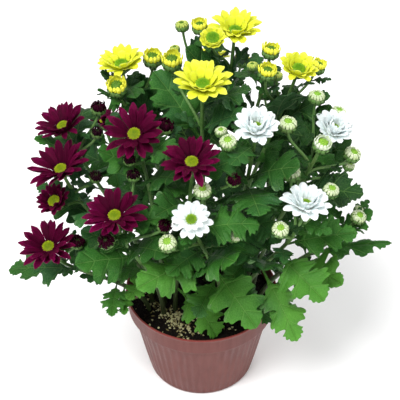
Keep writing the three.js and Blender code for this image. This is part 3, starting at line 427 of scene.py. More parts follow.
class Skin:
    """The points and faces of one piece. Each point has a place on its blade and a tone."""

    def __init__(self, *paints):
        self.paints = paints
        self.points = []
        self.places = []
        self.tones = []
        self.faces = []
        self.face_paints = []
        self.total = 0
        self.stand()

    def stand(self, centre=(0, 0, 0), axis=UP):
        """Gives the points that follow from this centre, with their Z along this axis."""
        self.turn = turning(axis)
        self.centre = np.array(centre, float)

    def add(self, points, faces, places=(0.5, 0.5), tone=0.5, paint=0):
        points = np.asarray(points, float)
        self.points.append(points @ self.turn.T + self.centre)
        self.places.append(np.broadcast_to(places, (len(points), 2)))
        self.tones.append(np.broadcast_to(tone, len(points)))
        self.faces += [[number + self.total for number in face] for face in np.asarray(faces).tolist()]
        self.face_paints += np.broadcast_to(paint, len(faces)).tolist()
        self.total += len(points)

    def sheet(self, top, bottom, places, tone, paints):
        """Adds a thin closed sheet from two grids of points that meet along their border."""
        rows, columns = top.shape[:2]
        upper = np.arange(rows * columns).reshape(rows, columns)
        lower = upper.copy()
        lower[1:-1, 1:-1] = rows * columns + np.arange((rows - 2) * (columns - 2)).reshape(rows - 2, -1)
        middle = (rows // 2, columns // 2)
        across = top[middle[0], middle[1] + 1] - top[middle]
        along = top[middle[0] + 1, middle[1]] - top[middle]
        faces, under = grid_faces(upper), grid_faces(lower)
        if np.cross(across, along) @ (top[middle] - bottom[middle]) < 0:
            faces, under = faces[:, ::-1], under[:, ::-1]
        points = np.concatenate([top.reshape(-1, 3), bottom[1:-1, 1:-1].reshape(-1, 3)])
        both = np.concatenate([places.reshape(-1, 2), places[1:-1, 1:-1].reshape(-1, 2)])
        self.add(points, np.concatenate([faces, under[:, ::-1]]), both, tone, np.repeat(paints, len(faces)))

    def rings(self, loops, tone=0.5, paint=0):
        """Adds a closed solid from loops of points, one after the other, with an end cap at each."""
        loops = np.asarray(loops, float)
        count, sides = loops.shape[:2]
        along = np.repeat(np.linspace(0, 1, count), sides)
        turned = np.tile(np.linspace(0, 1, sides, endpoint=False), count)
        first = self.total + np.arange(sides)
        self.add(loops.reshape(-1, 3), hoop_faces(count, sides), np.stack([along, turned], -1), tone, paint)
        self.faces += [first[::-1].tolist(), (first + (count - 1) * sides).tolist()]
        self.face_paints += [paint, paint]

    def turned(self, profile, sides, tone, paint=0):
        """Adds a turned solid. Profile pairs are radius and height, from the bottom up."""
        self.rings([radius * circle(sides) + height * UP for radius, height in profile], tone, paint)

    def tube(self, centres, radii, sides, tone, paint=0):
        """Adds a round rod along a line of points."""
        side = np.array([1.0, 0.0, 0.0])
        loops = []
        for centre, way, radius in zip(centres, unit(np.gradient(centres, axis=0)), radii):
            forward = unit(np.cross(way, side))
            side = np.cross(forward, way)
            loops.append(centre + radius * circle(sides) @ np.array([side, forward, way]))
        self.rings(loops, tone, paint)

    def bead(self, centre, axis, radius, height, tone, paint=0):
        """Adds a small blunt knob."""
        levels = ((1, -0.3), (1, 0.5), (0.4, 1))
        loops = np.array([circle(5) * (radius * wide) + UP * (height * up) for wide, up in levels])
        self.rings(loops @ turning(axis).T + centre, tone, paint)

    def strap(self, spine, side, halves, ends, tone, dish, ridge=0.0, twist=0.0, skin=0.16, rows=8,
              paint=0):
        """Adds a petal or a bract. spine and halves are its line and half width from root to tip.

        side is its sideways direction and ends is how far along the line each of its columns goes.
        """
        share = np.linspace(0, 1, len(spine))
        ways = unit(np.gradient(spine, axis=0))
        sides = unit(side - (ways @ side)[:, None] * ways)
        normals = np.cross(ways, sides)
        angle = (twist * share**2)[:, None]
        turned = np.cos(angle) * sides + np.sin(angle) * normals
        normals = np.cos(angle) * normals - np.sin(angle) * sides
        known = np.concatenate([spine, turned, normals, halves[:, None]], axis=1)
        along = np.sin(np.linspace(0, math.pi / 2, rows))[:, None] * ends
        placed = np.stack([np.interp(along, share, column) for column in known.T], -1)
        middle, sides, normals, half = np.split(placed, [3, 6, 9], axis=-1)
        across = np.linspace(-1, 1, len(ends))[None, :, None]
        groove = ridge * np.cos(3 * math.pi * across) * (1 - across**2)
        middle = middle + sides * half * across + normals * (dish * half * across**2 + groove)
        depth = normals * skin * (1 - across**6)
        places = np.stack(np.broadcast_arrays(along, across[..., 0] / 2 + 0.5), -1)
        self.sheet(middle + depth, middle - depth, places, tone, (paint, paint))


def show(name, data):
    made = bpy.data.objects.new(name, data)
    bpy.context.scene.collection.objects.link(made)
    return made


def piece(name, skin, replaced, sharp=50):
    """Makes a piece of the object and hides the solid that it stands for."""
    mesh = bpy.data.meshes.new(name)
    mesh.from_pydata((np.concatenate(skin.points) * MM).tolist(), [], skin.faces)
    for paint in skin.paints:
        mesh.materials.append(paint)
    mesh.polygons.foreach_set("material_index", skin.face_paints)
    corners = np.zeros(len(mesh.loops), int)
    mesh.loops.foreach_get("vertex_index", corners)
    layer = mesh.uv_layers.new(name="Blade")
    layer.data.foreach_set("uv", np.concatenate(skin.places)[corners].astype(np.float32).ravel())
    tones = mesh.attributes.new("tone", "FLOAT", "POINT")
    tones.data.foreach_set("value", np.concatenate(skin.tones).astype(np.float32))
    mesh.shade_smooth()
    mesh.set_sharp_from_angle(angle=math.radians(sharp))
    made = show(name, mesh)
    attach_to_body(made, "root")
    if replaced:
        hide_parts(replaced)


# ---------- materials ----------


def new_paint(name, roughness, specular):
    """A new material, with its node tree and shader."""
    made = bpy.data.materials.new(name)
    made.use_nodes = True
    shader = made.node_tree.nodes["Principled BSDF"]
    shader.inputs["Roughness"].default_value = roughness
    shader.inputs["Specular IOR Level"].default_value = specular
    return made, made.node_tree, shader


def rgb(colour):
    """A colour as it looks on screen, from 0 to 255, as the shader's linear one."""
    linear = [part / 3294.6 if part <= 10 else ((part / 255 + 0.055) / 1.055) ** 2.4 for part in colour]
    return (*linear, 1.0)


def feed(sockets, *values):
    """Links or sets inputs, one after the other."""
    for socket, value in zip(sockets, values):
        if isinstance(value, bpy.types.NodeSocket):
            socket.id_data.links.new(value, socket)
        else:
            socket.default_value = value


def fed(kind, *values, **settings):
    """A new node in the tree of its first value, with the rest of its values and its settings."""
    made = values[0].id_data.nodes.new(kind)
    for name, value in settings.items():
        setattr(made, name, value)
    feed(made.inputs, *values)
    return made


def maths(operation, *values, clamp=False):
    return fed("ShaderNodeMath", *values, operation=operation, use_clamp=clamp).outputs[0]


def vectors(operation, *values, result=0):
    return fed("ShaderNodeVectorMath", *values, operation=operation).outputs[result]


def span(value, low, high, to_low=0.0, to_high=1.0):
    """Maps a range of a value to another, gently at both ends."""
    bounds = (low, high, to_low, to_high)
    return fed("ShaderNodeMapRange", value, *bounds, interpolation_type="SMOOTHSTEP").outputs[0]


def blend(share, a, b):
    """Mixes two colours, each a link or a triple of screen values."""
    made = fed("ShaderNodeMix", share, data_type="RGBA")
    feed(made.inputs[6:8], *(rgb(colour) if isinstance(colour, tuple) else colour for colour in (a, b)))
    return made.outputs[2]


def tint(colour, other, most, mask, low, high):
    """Brings a colour towards another, at most by a share, where a mask rises from low to high."""
    return blend(span(mask, low, high, 0.0, most), colour, other)


def grain(place, scale, detail=3.0, rough=0.5):
    made = fed("ShaderNodeTexNoise", place)
    for name, value in (("Scale", scale), ("Detail", detail), ("Roughness", rough)):
        made.inputs[name].default_value = value
    return made.outputs["Fac"]


def cells(place, scale, feature="F1"):
    made = fed("ShaderNodeTexVoronoi", place, feature=feature)
    made.inputs["Scale"].default_value = scale
    return made.outputs["Distance"]


def cover(shader, colour, height, distance, strength=1.0):
    """Gives the shader its colour and its relief."""
    feed([shader.inputs["Base Color"]], colour)
    made = shader.id_data.nodes.new("ShaderNodeBump")
    made.inputs["Strength"].default_value = strength
    made.inputs["Distance"].default_value = distance
    feed([made.inputs["Height"], shader.inputs["Normal"]], height, made.outputs["Normal"])


def blade_place(tree):
    made = tree.nodes.new("ShaderNodeUVMap")
    made.uv_map = "Blade"
    return made.outputs["UV"]


def object_place(tree):
    return tree.nodes.new("ShaderNodeTexCoord").outputs["Object"]


def tone_of(tree):
    made = tree.nodes.new("ShaderNodeAttribute")
    made.attribute_name = "tone"
    return made.outputs["Fac"]


def vein_lines(place):
    """1 on the veins of a leaf and 0 between them."""
    out, across, _ = fed("ShaderNodeSeparateXYZ", place).outputs
    side = maths("ABSOLUTE", maths("SUBTRACT", across, 0.5))
    folded = fed("ShaderNodeCombineXYZ", out, side).outputs[0]
    lines = span(side, 0.003, maths("MULTIPLY_ADD", out, -0.008, 0.013), 1.0, 0.0)
    looks = [(vein, 0.0095, 0.65) for vein in SIDE_VEINS] + [(vein, 0.006, 0.35) for vein in BRANCH_VEINS]
    for (start, end), width, brightness in looks:
        reach = np.subtract(end, start)
        from_start = vectors("SUBTRACT", folded, (*start, 0))
        ahead = vectors("DOT_PRODUCT", from_start, (*(reach / (reach @ reach)), 0), result="Value")
        nearest = vectors("MULTIPLY", maths("MULTIPLY", ahead, 1.0, clamp=True), (*reach, 0))
        far = vectors("DISTANCE", from_start, nearest, result="Value")
        lines = maths("MAXIMUM", lines, span(far, 0.001, width, brightness, 0.0))
    return lines


def leaf_paint(name, dark, middle, light, cool, vein, vein_share, roughness, relief):
    """dark, middle and light colour a leaf by its tone, and cool tints some of the leaves."""
    made, tree, shader = new_paint(name, roughness, 0.14)
    blade, place = blade_place(tree), object_place(tree)
    lines = vein_lines(blade)
    meshes = span(cells(blade, 34, "DISTANCE_TO_EDGE"), 0.0, 0.09, 1.0, 0.0)
    broad, fine = grain(place, 60), grain(place, 900, 2)
    share = maths("ADD", tone_of(tree), maths("MULTIPLY_ADD", broad, 0.5, -0.25), clamp=True)
    green = blend(maths("MULTIPLY", share, 2.0, clamp=True), dark, middle)
    green = blend(maths("MULTIPLY_ADD", share, 2.0, -1.0, clamp=True), green, light)
    green = tint(green, cool, 0.6, grain(place, 16, 1), 0.5, 0.66)
    green = blend(maths("MULTIPLY", meshes, 0.13), green, vein)
    green = tint(green, dark, 0.16, fine, 0.35, 0.7)
    green = blend(maths("MULTIPLY", lines, vein_share), green, vein)
    feed([shader.inputs["Roughness"]], span(broad, 0.3, 0.7, roughness - 0.08, roughness + 0.1))
    height = maths("MULTIPLY_ADD", lines, relief, maths("MULTIPLY_ADD", meshes, -0.25, fine))
    cover(shader, green, height, 0.00035)
    return made


def stalk_paint():
    """Ribbed green, with brown patches, and feet darkened partly as woody stems and partly as painted shade
    under the foliage.
    """
    made, tree, shader = new_paint("stalk green", 0.5, 0.4)
    place = object_place(tree)
    streaks = grain(vectors("MULTIPLY", place, (1, 1, 0.12)), 1400)
    height = fed("ShaderNodeSeparateXYZ", place).outputs[2]
    green = blend(tone_of(tree), (52, 92, 42), (104, 148, 66))
    green = tint(green, (132, 164, 96), 0.5, streaks, 0.35, 0.75)
    green = tint(green, (86, 78, 48), 0.35, grain(place, 40), 0.5, 0.75)
    # Low on the stalks, up to about 190 mm, the green darkens: partly the woody stem, partly painted shade
    # under the foliage.
    green = blend(span(height, 0.11, 0.19, 0.85, 0.0), green, (40, 44, 24))
    cover(shader, green, streaks, 0.0003)
    return made


def petal_paint(name, root, body, tip, shade, streak, glow=0.5, depth=0.0012):
    """root, body and tip colour a petal along its length, and shade darkens its streaks.

    glow is the share of the light that it scatters inside, and depth how deep that goes.
    """
    made, tree, shader = new_paint(name, 0.5, 0.03)
    shader.inputs["Subsurface Weight"].default_value = glow
    shader.inputs["Subsurface Radius"].default_value = (1, 1, 1)
    shader.inputs["Subsurface Scale"].default_value = depth
    blade, place = blade_place(tree), object_place(tree)
    along = fed("ShaderNodeSeparateXYZ", blade).outputs[0]
    lengthways = vectors("MULTIPLY", blade, (1.6, 16, 1))
    lines = grain(vectors("ADD", lengthways, vectors("MULTIPLY", place, (40, 40, 40))), 1.7, 4, 0.6)
    colour = tint(root, body, 1.0, along, 0.0, 0.4)
    colour = tint(colour, tip, 1.0, along, 0.6, 1.0)
    colour = tint(colour, shade, streak, lines, 0.42, 0.72)
    toned = maths("MULTIPLY_ADD", grain(place, 130, 2), 0.35, maths("MULTIPLY", tone_of(tree), 0.5))
    colour = blend(span(toned, 0.2, 0.75, streak, 0.0), colour, shade)
    feed([shader.inputs["Roughness"]], span(lines, 0.3, 0.7, 0.44, 0.62))
    cover(shader, colour, lines, 0.0003, 0.8)
    return made


def eye_paint(name, inner, outer, speck):
    made, tree, shader = new_paint(name, 0.6, 0.3)
    speckle = grain(object_place(tree), 700)
    cover(shader, tint(blend(tone_of(tree), inner, outer), speck, 0.4, speckle, 0.4, 0.7), speckle, 0.0002)
    return made


def pot_paint():
    """Streaked terracotta, dusty in places, with a redder lip, fine specks and a few dark dots."""
    made, tree, shader = new_paint("terracotta plastic", 0.42, 0.18)
    place = object_place(tree)
    streaks = grain(vectors("MULTIPLY", place, (1, 1, 0.1)), 220, 4, 0.6)
    dust, specks = grain(place, 24, 5, 0.6), grain(place, 1500, 2)
    height = fed("ShaderNodeSeparateXYZ", place).outputs[2]
    colour = tint((98, 54, 50), (109, 64, 60), 1.0, streaks, 0.3, 0.7)
    colour = tint(colour, (124, 83, 78), 0.45, dust, 0.42, 0.7)
    colour = tint(colour, (132, 56, 50), 0.75, height, 0.0915, 0.0938)
    colour = tint(colour, (90, 54, 50), 0.25, specks, 0.62, 0.75)
    dots = span(cells(place, 75), 0.03, 0.075, 0.85, 0.0)
    dots = maths("MULTIPLY", dots, span(grain(place, 33, 2), 0.52, 0.6))
    feed([shader.inputs["Roughness"]], span(dust, 0.35, 0.7, 0.36, 0.6))
    cover(shader, blend(dots, colour, (46, 30, 28)), maths("MULTIPLY_ADD", streaks, 0.5, specks), 0.00015)
    return made


def soil_paint():
    """Dark fibrous crumbs with pale flecks."""
    made, tree, shader = new_paint("peat", 0.95, 0.15)
    place = object_place(tree)
    fibres = grain(place, 500, 5, 0.7)
    colour = blend(fibres, (6, 5, 4), (30, 23, 19))
    colour = blend(span(cells(place, 700), 0.05, 0.13, 0.4, 0.0), colour, (120, 104, 70))
    cover(shader, colour, maths("MULTIPLY_ADD", cells(place, 420), 1.4, fibres), 0.0014)
    return made


def chip_paint(name, low, high, roughness):
    made, tree, shader = new_paint(name, roughness, 0.2)
    mottle = grain(object_place(tree), 800, 4, 0.6)
    cover(shader, blend(mottle, low, high), mottle, 0.0004)
    return made


def by_kind(make, label, **looks):
    """One paint for each kind of plant."""
    return {kind: make(f"{kind} {label}", *look) for kind, look in looks.items()}


LEAF_TOP = leaf_paint(
    "leaf top", (5, 36, 12), (42, 94, 30), (82, 142, 48), (38, 80, 48), (136, 182, 96), 0.28, 0.46, -1.3)
LEAF_UNDER = leaf_paint(
    "leaf underside", (50, 88, 52), (70, 110, 60), (96, 134, 74), (78, 110, 80), (150, 178, 126),
    0.6, 0.6, 2.0)
STALK_GREEN = stalk_paint()
PETALS = by_kind(
    petal_paint, "petals",
    yellow=((196, 206, 36), (214, 220, 58), (224, 228, 84), (196, 200, 34), 0.3),
    # The crimson petals' dark root is partly their own darker base and partly painted shade round the eye.
    crimson=((44, 2, 20), (80, 4, 40), (102, 6, 53), (28, 1, 12), 0.55),
    white=((224, 236, 214), (240, 250, 251), (242, 251, 252), (232, 244, 242), 0.15, 0.7, 0.002))
HALF_OPEN_PETALS = by_kind(
    petal_paint, "crown petals",
    yellow=((212, 216, 60), (238, 238, 66), (242, 242, 84), (230, 224, 58), 0.15, 0.35, 0.001),
    crimson=((32, 8, 14), (38, 3, 19), (52, 5, 28), (18, 1, 8), 0.5),
    white=((180, 202, 132), (216, 228, 198), (228, 236, 220), (184, 202, 146), 0.4))
TIGHT_PETALS = by_kind(
    petal_paint, "bud petals",
    yellow=((112, 154, 50), (192, 204, 100), (212, 218, 116), (132, 164, 60), 0.5),
    crimson=((24, 10, 12), (27, 4, 15), (48, 12, 30), (12, 2, 7), 0.6),
    white=((140, 174, 76), (214, 224, 186), (230, 236, 210), (154, 184, 100), 0.5))
EYES = by_kind(
    eye_paint, "bloom eye",
    yellow=((76, 138, 20), (118, 164, 22), (168, 192, 34)),
    crimson=((104, 138, 12), (150, 162, 12), (188, 188, 26)),
    white=((88, 142, 26), (134, 168, 34), (176, 190, 50)))
BUD_EYES = by_kind(
    eye_paint, "bud eye",
    yellow=((60, 104, 28), (96, 142, 36), (140, 166, 50)),
    crimson=((34, 54, 20), (62, 88, 30), (92, 104, 40)),
    white=((110, 164, 48), (150, 192, 64), (184, 206, 90)))

# ---------- leaves ----------


def rounded(points, count):
    """Evenly numbered points of the smooth curve that passes through some points."""
    points = np.array(points, float)
    padded = np.concatenate([[2 * points[0] - points[1]], points, [2 * points[-1] - points[-2]]])
    places = np.linspace(0, len(points) - 1, count)
    start = np.minimum(places.astype(int), len(points) - 2)
    part = (places - start)[:, None]
    a, b, c, d = (padded[start + k] for k in range(4))
    return b + 0.5 * part * (c - a + part * (2 * a - 5 * b + 4 * c - d + part * (3 * (b - c) + d - a)))


def blunted(outline):
    """The same outline with its teeth evened out, and its ends kept."""
    reach = round(BLUNT_SPAN * len(outline))
    first, last = (np.repeat(outline[[end]], reach, 0) for end in (0, -1))
    padded = np.concatenate([first, outline, last])
    evened = sum(padded[k : k + len(outline)] for k in range(2 * reach + 1)) / (2 * reach + 1)
    evened[0], evened[-1] = outline[0], outline[-1]
    return evened


OUTLINES = {size: rounded(LEAF_EDGE, count) for size, count in LEAF_ROWS.items()}
BLUNT_OUTLINES = {size: blunted(outline) for size, outline in OUTLINES.items()}


def vein_distance(out, side):
    """How far places on a blade lie from its nearest vein."""
    nearest = side
    for start, end in SIDE_VEINS + BRANCH_VEINS:
        reach = np.subtract(end, start)
        ahead = (out - start[0]) * reach[0] + (side - start[1]) * reach[1]
        ahead = np.clip(ahead / (reach @ reach), 0, 1)
        far = np.hypot(out - start[0] - ahead * reach[0], side - start[1] - ahead * reach[1])
        nearest = np.minimum(nearest, far)
    return nearest


def leaf_point(leaf, out, side, lift=0.0):
    """Places points of the flat blade on the arched, folded and waved one."""
    bend = leaf["arch"] / leaf["length"]
    angle = out * leaf["arch"]
    offset = side * leaf["width"] * leaf["length"]
    ripple = leaf["wave"] * side * offset * np.sin(LEAF["waves"] * out + leaf["phase"])
    rise = np.abs(offset) * leaf["fold"] + ripple + lift
    reach = np.sin(angle) / bend + np.sin(angle) * rise
    height = np.cos(angle) * rise - (1 - np.cos(angle)) / bend
    shifts = ((reach, "direction"), (height, "normal"), (offset, "sideways"))
    return leaf["base"] + sum(np.asarray(shift)[..., None] * leaf[way] for shift, way in shifts)


def leaf_to(base, tip, hint, arch, width, draws):
    """A leaf from its base and tip, with its upper face turned towards a hint."""
    chord = np.asarray(tip, float) - base
    length = np.linalg.norm(chord) * (1 + arch * arch / 24)
    chord = unit(chord)
    sideways = unit(np.cross(chord, hint))
    upright = np.cross(sideways, chord)
    bow, lean = math.cos(arch / 2), math.sin(arch / 2)
    return {
        "base": base,
        "length": length,
        "width": width,
        "arch": arch,
        "sideways": sideways,
        "direction": chord * bow + upright * lean,
        "normal": upright * bow - chord * lean,
        "fold": vary(GROWTH["fold"], draws[0]),
        "wave": vary(GROWTH["wave"], draws[1]),
        "phase": FULL_TURN * draws[2],
    }


def ruled_leaf(chain, share, index, turned, draws):
    """The leaf that grows by rule at a share of a stem."""
    base, _, _ = chain.at(share)
    height = max(0, (base[2] - SOIL_CROWN) / GROWTH["climb"])
    outwards = math.atan2(base[1], base[0])
    spiral = math.radians(GOLDEN_TURN * index) + draws[3]
    azimuth = spiral + GROWTH["outwards"] * math.sin(outwards - spiral) + math.radians(turned)
    pitch = math.radians(vary(GROWTH["pitch"], height) + GROWTH["pitch_spread"] * (draws[4] - 0.5))
    length = lerp(LEAF["low"], LEAF["high"], height ** GROWTH["taper"]) * vary(GROWTH["length"], draws[5])
    tip = base + length * unit([math.cos(azimuth), math.sin(azimuth), math.tan(pitch)])
    right, forward = (GROWTH["tilt"] * (draw - 0.5) for draw in draws[6:8])
    hint = (right, forward + GROWTH["forwards"], 1)
    return leaf_to(base, tip, hint, vary(GROWTH["arch"], draws[8]), GROWTH["width"], draws)


def leaf_tone(leaf, draw):
    """Leaves low at the front are brighter and the others darker, with a random spread."""
    _, y, z = leaf_point(leaf, 0.7, 0.0)
    low_front = smooth(20, -90, y) * smooth(250, 130, z)
    return float(np.clip(BASE_TONE + LOW_FRONT_TONE * low_front + TONE_SPREAD * (draw - 0.4), 0, 1))


def add_leaf(skin, leaf, size, rng, slip=np.zeros(3)):
    """Adds a lobed blade with its veins, thin edge and short stalk. slip moves its foot to the stem."""
    outline = lerp(OUTLINES[size], BLUNT_OUTLINES[size], rng.random() ** 2)
    edge_out, edge_side, rib = (column[:, None] for column in outline.T)
    across = np.linspace(-1, 1, 2 * LEAF_COLUMNS[size] + 1)[None, :]
    share = np.abs(across)
    phases = rng.uniform(0, FULL_TURN, 6)
    left, right = (1 + EDGE_SWELL * np.sin(SWELL_WAVES * edge_out + phase) for phase in phases[:2])
    jut_left, jut_right = (EDGE_JUT * np.sin(JUT_WAVES * edge_out + phase) for phase in phases[2:4])
    jut = np.where(across < 0, jut_left, jut_right) * smooth(0.05, 0.2, edge_side)
    out = rib + (edge_out + jut - rib) * share
    side = across * edge_side * np.where(across < 0, left, right)
    length, border = leaf["length"], smooth(0.1, 0.3, edge_side)
    between_veins = 1 - np.exp(-((vein_distance(out, np.abs(side)) / VEIN_TROUGH) ** 2))
    quilt = LEAF_QUILT * between_veins * (1 - share**4) * length / LEAF["low"]
    ruffle = LEAF_RUFFLE * length * share**2 * border * np.sin(RUFFLE_WAVES * out + phases[4])
    curl = LEAF_CURL * length * share**3 * border * (1 + np.sin(phases[5]))
    middle = quilt + ruffle - curl
    inner = 1 - share**8
    stalk = np.exp(-((out / STALK_SHARE) ** 2))
    keel = KEEL * np.exp(-((side / 0.014) ** 2)) * (1 - 0.7 * out) + STALK_KEEL * stalk
    top = leaf_point(leaf, out, side, middle + inner * (LEAF_SKIN + 0.4 * stalk))
    bottom = leaf_point(leaf, out, side, middle - inner * (LEAF_SKIN + keel))
    pull = (np.clip(1 - out / 0.3, 0, 1) ** 2)[..., None] * slip
    places = np.stack([out, side + 0.5], -1)
    tone = leaf_tone(leaf, rng.random())
    skin.sheet(top + pull, bottom + pull, places, tone, (TOP_PAINT, UNDER_PAINT))


# ---------- flowers ----------


def around(angle):
    """The outward and the sideways direction at an angle about +Z."""
    outward = np.array([math.cos(angle), math.sin(angle), 0.0])
    return outward, np.cross(UP, outward)


def tip_ends(depth, power, notch=0.0, columns=7):
    """How far along a petal each of its columns reaches: less at the sides and in a notch."""
    across = np.linspace(-1, 1, columns)
    return 1 - depth * np.abs(across) ** power - notch * np.exp(-((across / 0.25) ** 2))


def petal_widths(share, kind):
    """Half width of a petal along its length, as a share of its greatest."""
    widen = np.sin(math.pi / 2 * np.clip(share / kind["shoulder"], 0, 1)) ** 1.3
    close = np.clip((share - kind["shoulder"]) / (1 - kind["shoulder"]), 0, 1)
    return lerp(kind["root"], 1, widen) * lerp(1, kind["waist"], close**1.5)


def seat_radii(kind):
    """Radii of a bloom's seat where its outer and its inner row of petals start."""
    outer = RAYS[kind]["disc"] + 1
    return outer, outer - TIER_STEP * (CAD_ROWS[kind] - 1)


def add_rays(skin, kind_name, head, rng):
    """Adds the ray petals of a bloom, on a low cone that carries them."""
    kind = RAYS[kind_name]
    rows = kind["rows"] + (kind["closed"] if head["cupped"] else ())
    tall = TIER * CAD_ROWS[kind_name]
    outer, inner = seat_radii(kind_name)
    cone = [(outer - 1.6, 0.05), (outer - 0.2, 0.3), (inner - 0.1, tall), (inner - 1, tall + 0.2)]
    skin.turned(cone, 24, 0.3)
    share = np.linspace(-0.1, 1, 16)
    widths = petal_widths(share, kind)
    for k, (count, size, root, tip) in enumerate(rows):
        level = k / (len(rows) - 1)
        start = lerp(outer, inner, level)
        base = lerp(0.45, 0.75, level) * TIER + lerp(0, tall - TIER, level)
        step = FULL_TURN / count
        shoulder = start + head["reach"] * size * kind["shoulder"] * math.cos(math.radians(root))
        for i in range(count):
            turn = BLOOM_SPIN * head["at"][0] + (i + k / len(rows)) * step
            outward, sideways = around(turn + rng.normal(0, UNEVEN["turn"]) * step)
            run = (head["reach"] * size - start) * rng.uniform(*UNEVEN["length"])
            bent = rng.normal(0, UNEVEN["slope"]) * share + rng.normal(0, UNEVEN["slope"]) * share**2
            slopes = np.radians(root + head["cupped"] + (tip - root) * share / 2 + bent)
            radius = start + run * share * np.cos(slopes)
            height = base + run * share * np.sin(slopes)
            swerve = run * rng.normal(0, UNEVEN["swerve"]) * share**2
            spine = radius[:, None] * outward + height[:, None] * UP + swerve[:, None] * sideways
            half = kind["fill"] * shoulder * math.sin(step / 2) * rng.uniform(*UNEVEN["width"])
            ends = tip_ends(*kind["tip"], kind["notch"] * rng.uniform(0, 2))
            tone, twist = rng.uniform(0.1, 1), rng.normal(0, PETAL_TWIST)
            skin.strap(spine, sideways, half * widths, ends, tone, kind["dish"], PETAL_RIDGE, twist)


def add_disc(skin, kind_name, rng):
    """Adds the button of tiny florets in the middle of a bloom."""
    radius = seat_radii(kind_name)[1] - RAYS[kind_name]["inset"]
    foot = TIER * CAD_ROWS[kind_name] + 0.3
    crown = DISC_RISE - 0.7
    skin.turned([(radius - 0.5, foot), (radius, foot + 0.5), (radius * 0.8, foot + crown * 0.7),
                 (radius * 0.4, foot + crown * 0.95), (0.3, foot + crown)], 24, 0.3)
    for i in range(DISC_FLORETS):
        share = math.sqrt((i + 0.5) / DISC_FLORETS)
        outward, _ = around(i * math.radians(GOLDEN_TURN))
        centre = outward * radius * share * 0.97 + UP * (foot + crown * (1 - share**2.6) + 0.15)
        axis = unit(UP + outward * share**3 * 0.9)
        tone = lerp(0.1, 1, share**2) * rng.uniform(0.8, 1.0)
        skin.bead(centre, axis, radius * lerp(0.068, 0.1, share), lerp(0.55, 1.0, share), tone)


def add_bracts(skin, count, foot, tip, width, tone, turn=0.0):
    """Adds a ring of small pointed bracts. foot and tip are radius and height pairs."""
    foot, tip = np.array(foot), np.array(tip)
    share = np.linspace(0, 1, 6)
    line = lerp(foot, tip, share[:, None])
    line[:, 0] += 0.14 * np.linalg.norm(tip - foot) * np.sin(math.pi * share)
    halves = width * np.sin(math.pi * lerp(0.25, 0.85, share)) ** 0.8
    ends = tip_ends(0.3, 1.3, columns=5)
    for i in range(count):
        outward, sideways = around(turn + FULL_TURN * i / count)
        spine = line[:, :1] * outward + line[:, 1:] * UP
        skin.strap(spine, sideways, halves, ends, tone, -0.3, skin=0.22, rows=5, paint=STALK_PAINT)


def add_cup(skin, kind_name, centre, axis):
    """Adds the green cup under a bloom."""
    skin.stand(centre, axis)
    radius = seat_radii(kind_name)[0]
    skin.turned([(1.4, -6.6), (2.4, -5.6), (radius * 0.72, -3.6), (radius * 0.95, -1.8), (radius, -0.5),
                 (radius - 1.2, -0.2)], 20, 0.45, STALK_PAINT)
    add_bracts(skin, 10, (radius * 0.55, -5.0), (radius * 0.98, -0.9), 1.7, 0.35)
    add_bracts(skin, 12, (radius * 0.8, -3.4), (radius + 1.3, 0.2), 1.6, 0.6, 0.3)
    skin.stand()


def curved(start, middle, end, count=7):
    """Points on the parabola through three pairs of radius and height."""
    share = np.linspace(0, 1, count)[:, None]
    a, b, c = (np.array(point, float) for point in (start, middle, end))
    return a * (1 - share) * (1 - 2 * share) + 4 * b * share * (1 - share) + c * share * (2 * share - 1)


def add_ring(skin, count, line, half, turn, dish, form, rng):
    """Adds a ring of bud petals, each along the same line of radius and height pairs."""
    halves = half * lerp(0.7, 1, np.sin(math.pi * 0.7 * np.linspace(0, 1, len(line))))
    ends = tip_ends(0.2, 2.2, columns=5)
    for i in range(count):
        outward, sideways = around(turn + FULL_TURN * (i + rng.normal(0, 0.06)) / count)
        grown = line * rng.uniform(1 - form["ragged"], 1 + form["ragged"] * 0.8)
        spine = grown[:, :1] * outward + grown[:, 1:] * UP
        skin.strap(spine, sideways, halves, ends, rng.uniform(0.2, 1), dish, rows=6, paint=form["paint"])


def add_bud_cup(skin, size):
    """Adds the green cup of a bud, with two rings of bracts, in bud radii."""
    skin.turned(np.array(BUD_CUP) * size, 20, 0.5, STALK_PAINT)
    add_bracts(skin, 9, (0.62 * size, -0.72 * size), (0.98 * size, 0.02 * size), 0.3 * size, 0.3)
    add_bracts(skin, 11, (0.84 * size, -0.42 * size), (0.92 * size, 0.34 * size), 0.25 * size, 0.6, 0.25)


def add_bud(green, petals, head, axis, kind, rng):
    """Adds a bud: a green cup of bracts with tight or half-open petals in it."""
    size, gape, form = head["radius"], kind["gape"], BUDS[kind[head["state"]]]
    green.stand(head["at"], axis)
    add_bud_cup(green, size)
    green.stand()
    petals.stand(head["at"], axis)
    spin = rng.uniform(0, 1)
    for k, (count, (low, middle, high), half, dish) in enumerate(form["rings"]):
        line = size * curved(low, middle, (high[0] * lerp(gape, 1, 0.3), high[1]))
        add_ring(petals, count, line, half * size, spin + 0.2 * k, dish, form, rng)
    core = np.array(form["core"]) * (gape, 1)
    petals.turned(core * size, 16, 0.4, CORE_PAINT)
    for i in range(form["florets"]):
        share = math.sqrt((i + 0.5) / form["florets"])
        outward, _ = around(i * math.radians(GOLDEN_TURN))
        centre = size * (outward * core[1, 0] * share + UP * (core[-1, 1] - 0.2 * share**2))
        tone = share * rng.uniform(0.4, 1)
        petals.bead(centre, UP, 0.09 * gape * size, 0.12 * size, tone, CORE_PAINT)
    petals.stand()


# ---------- the plants ----------

numbers_given = Counter()


def numbered(name):
    numbers_given[name] += 1
    return f"{name}_{numbers_given[name]}"


def corners_of(name):
    return np.array([vertex.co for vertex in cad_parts[name].data.vertices]) / MM


def facing(lean):
    return unit([*lean, 1])


def neck_of(head, axis):
    """Where a head meets its stalk."""
    depth = NECK["cup"] if "reach" in head else NECK["bud"] * head["radius"]
    return np.array(head["at"], float) - axis * depth


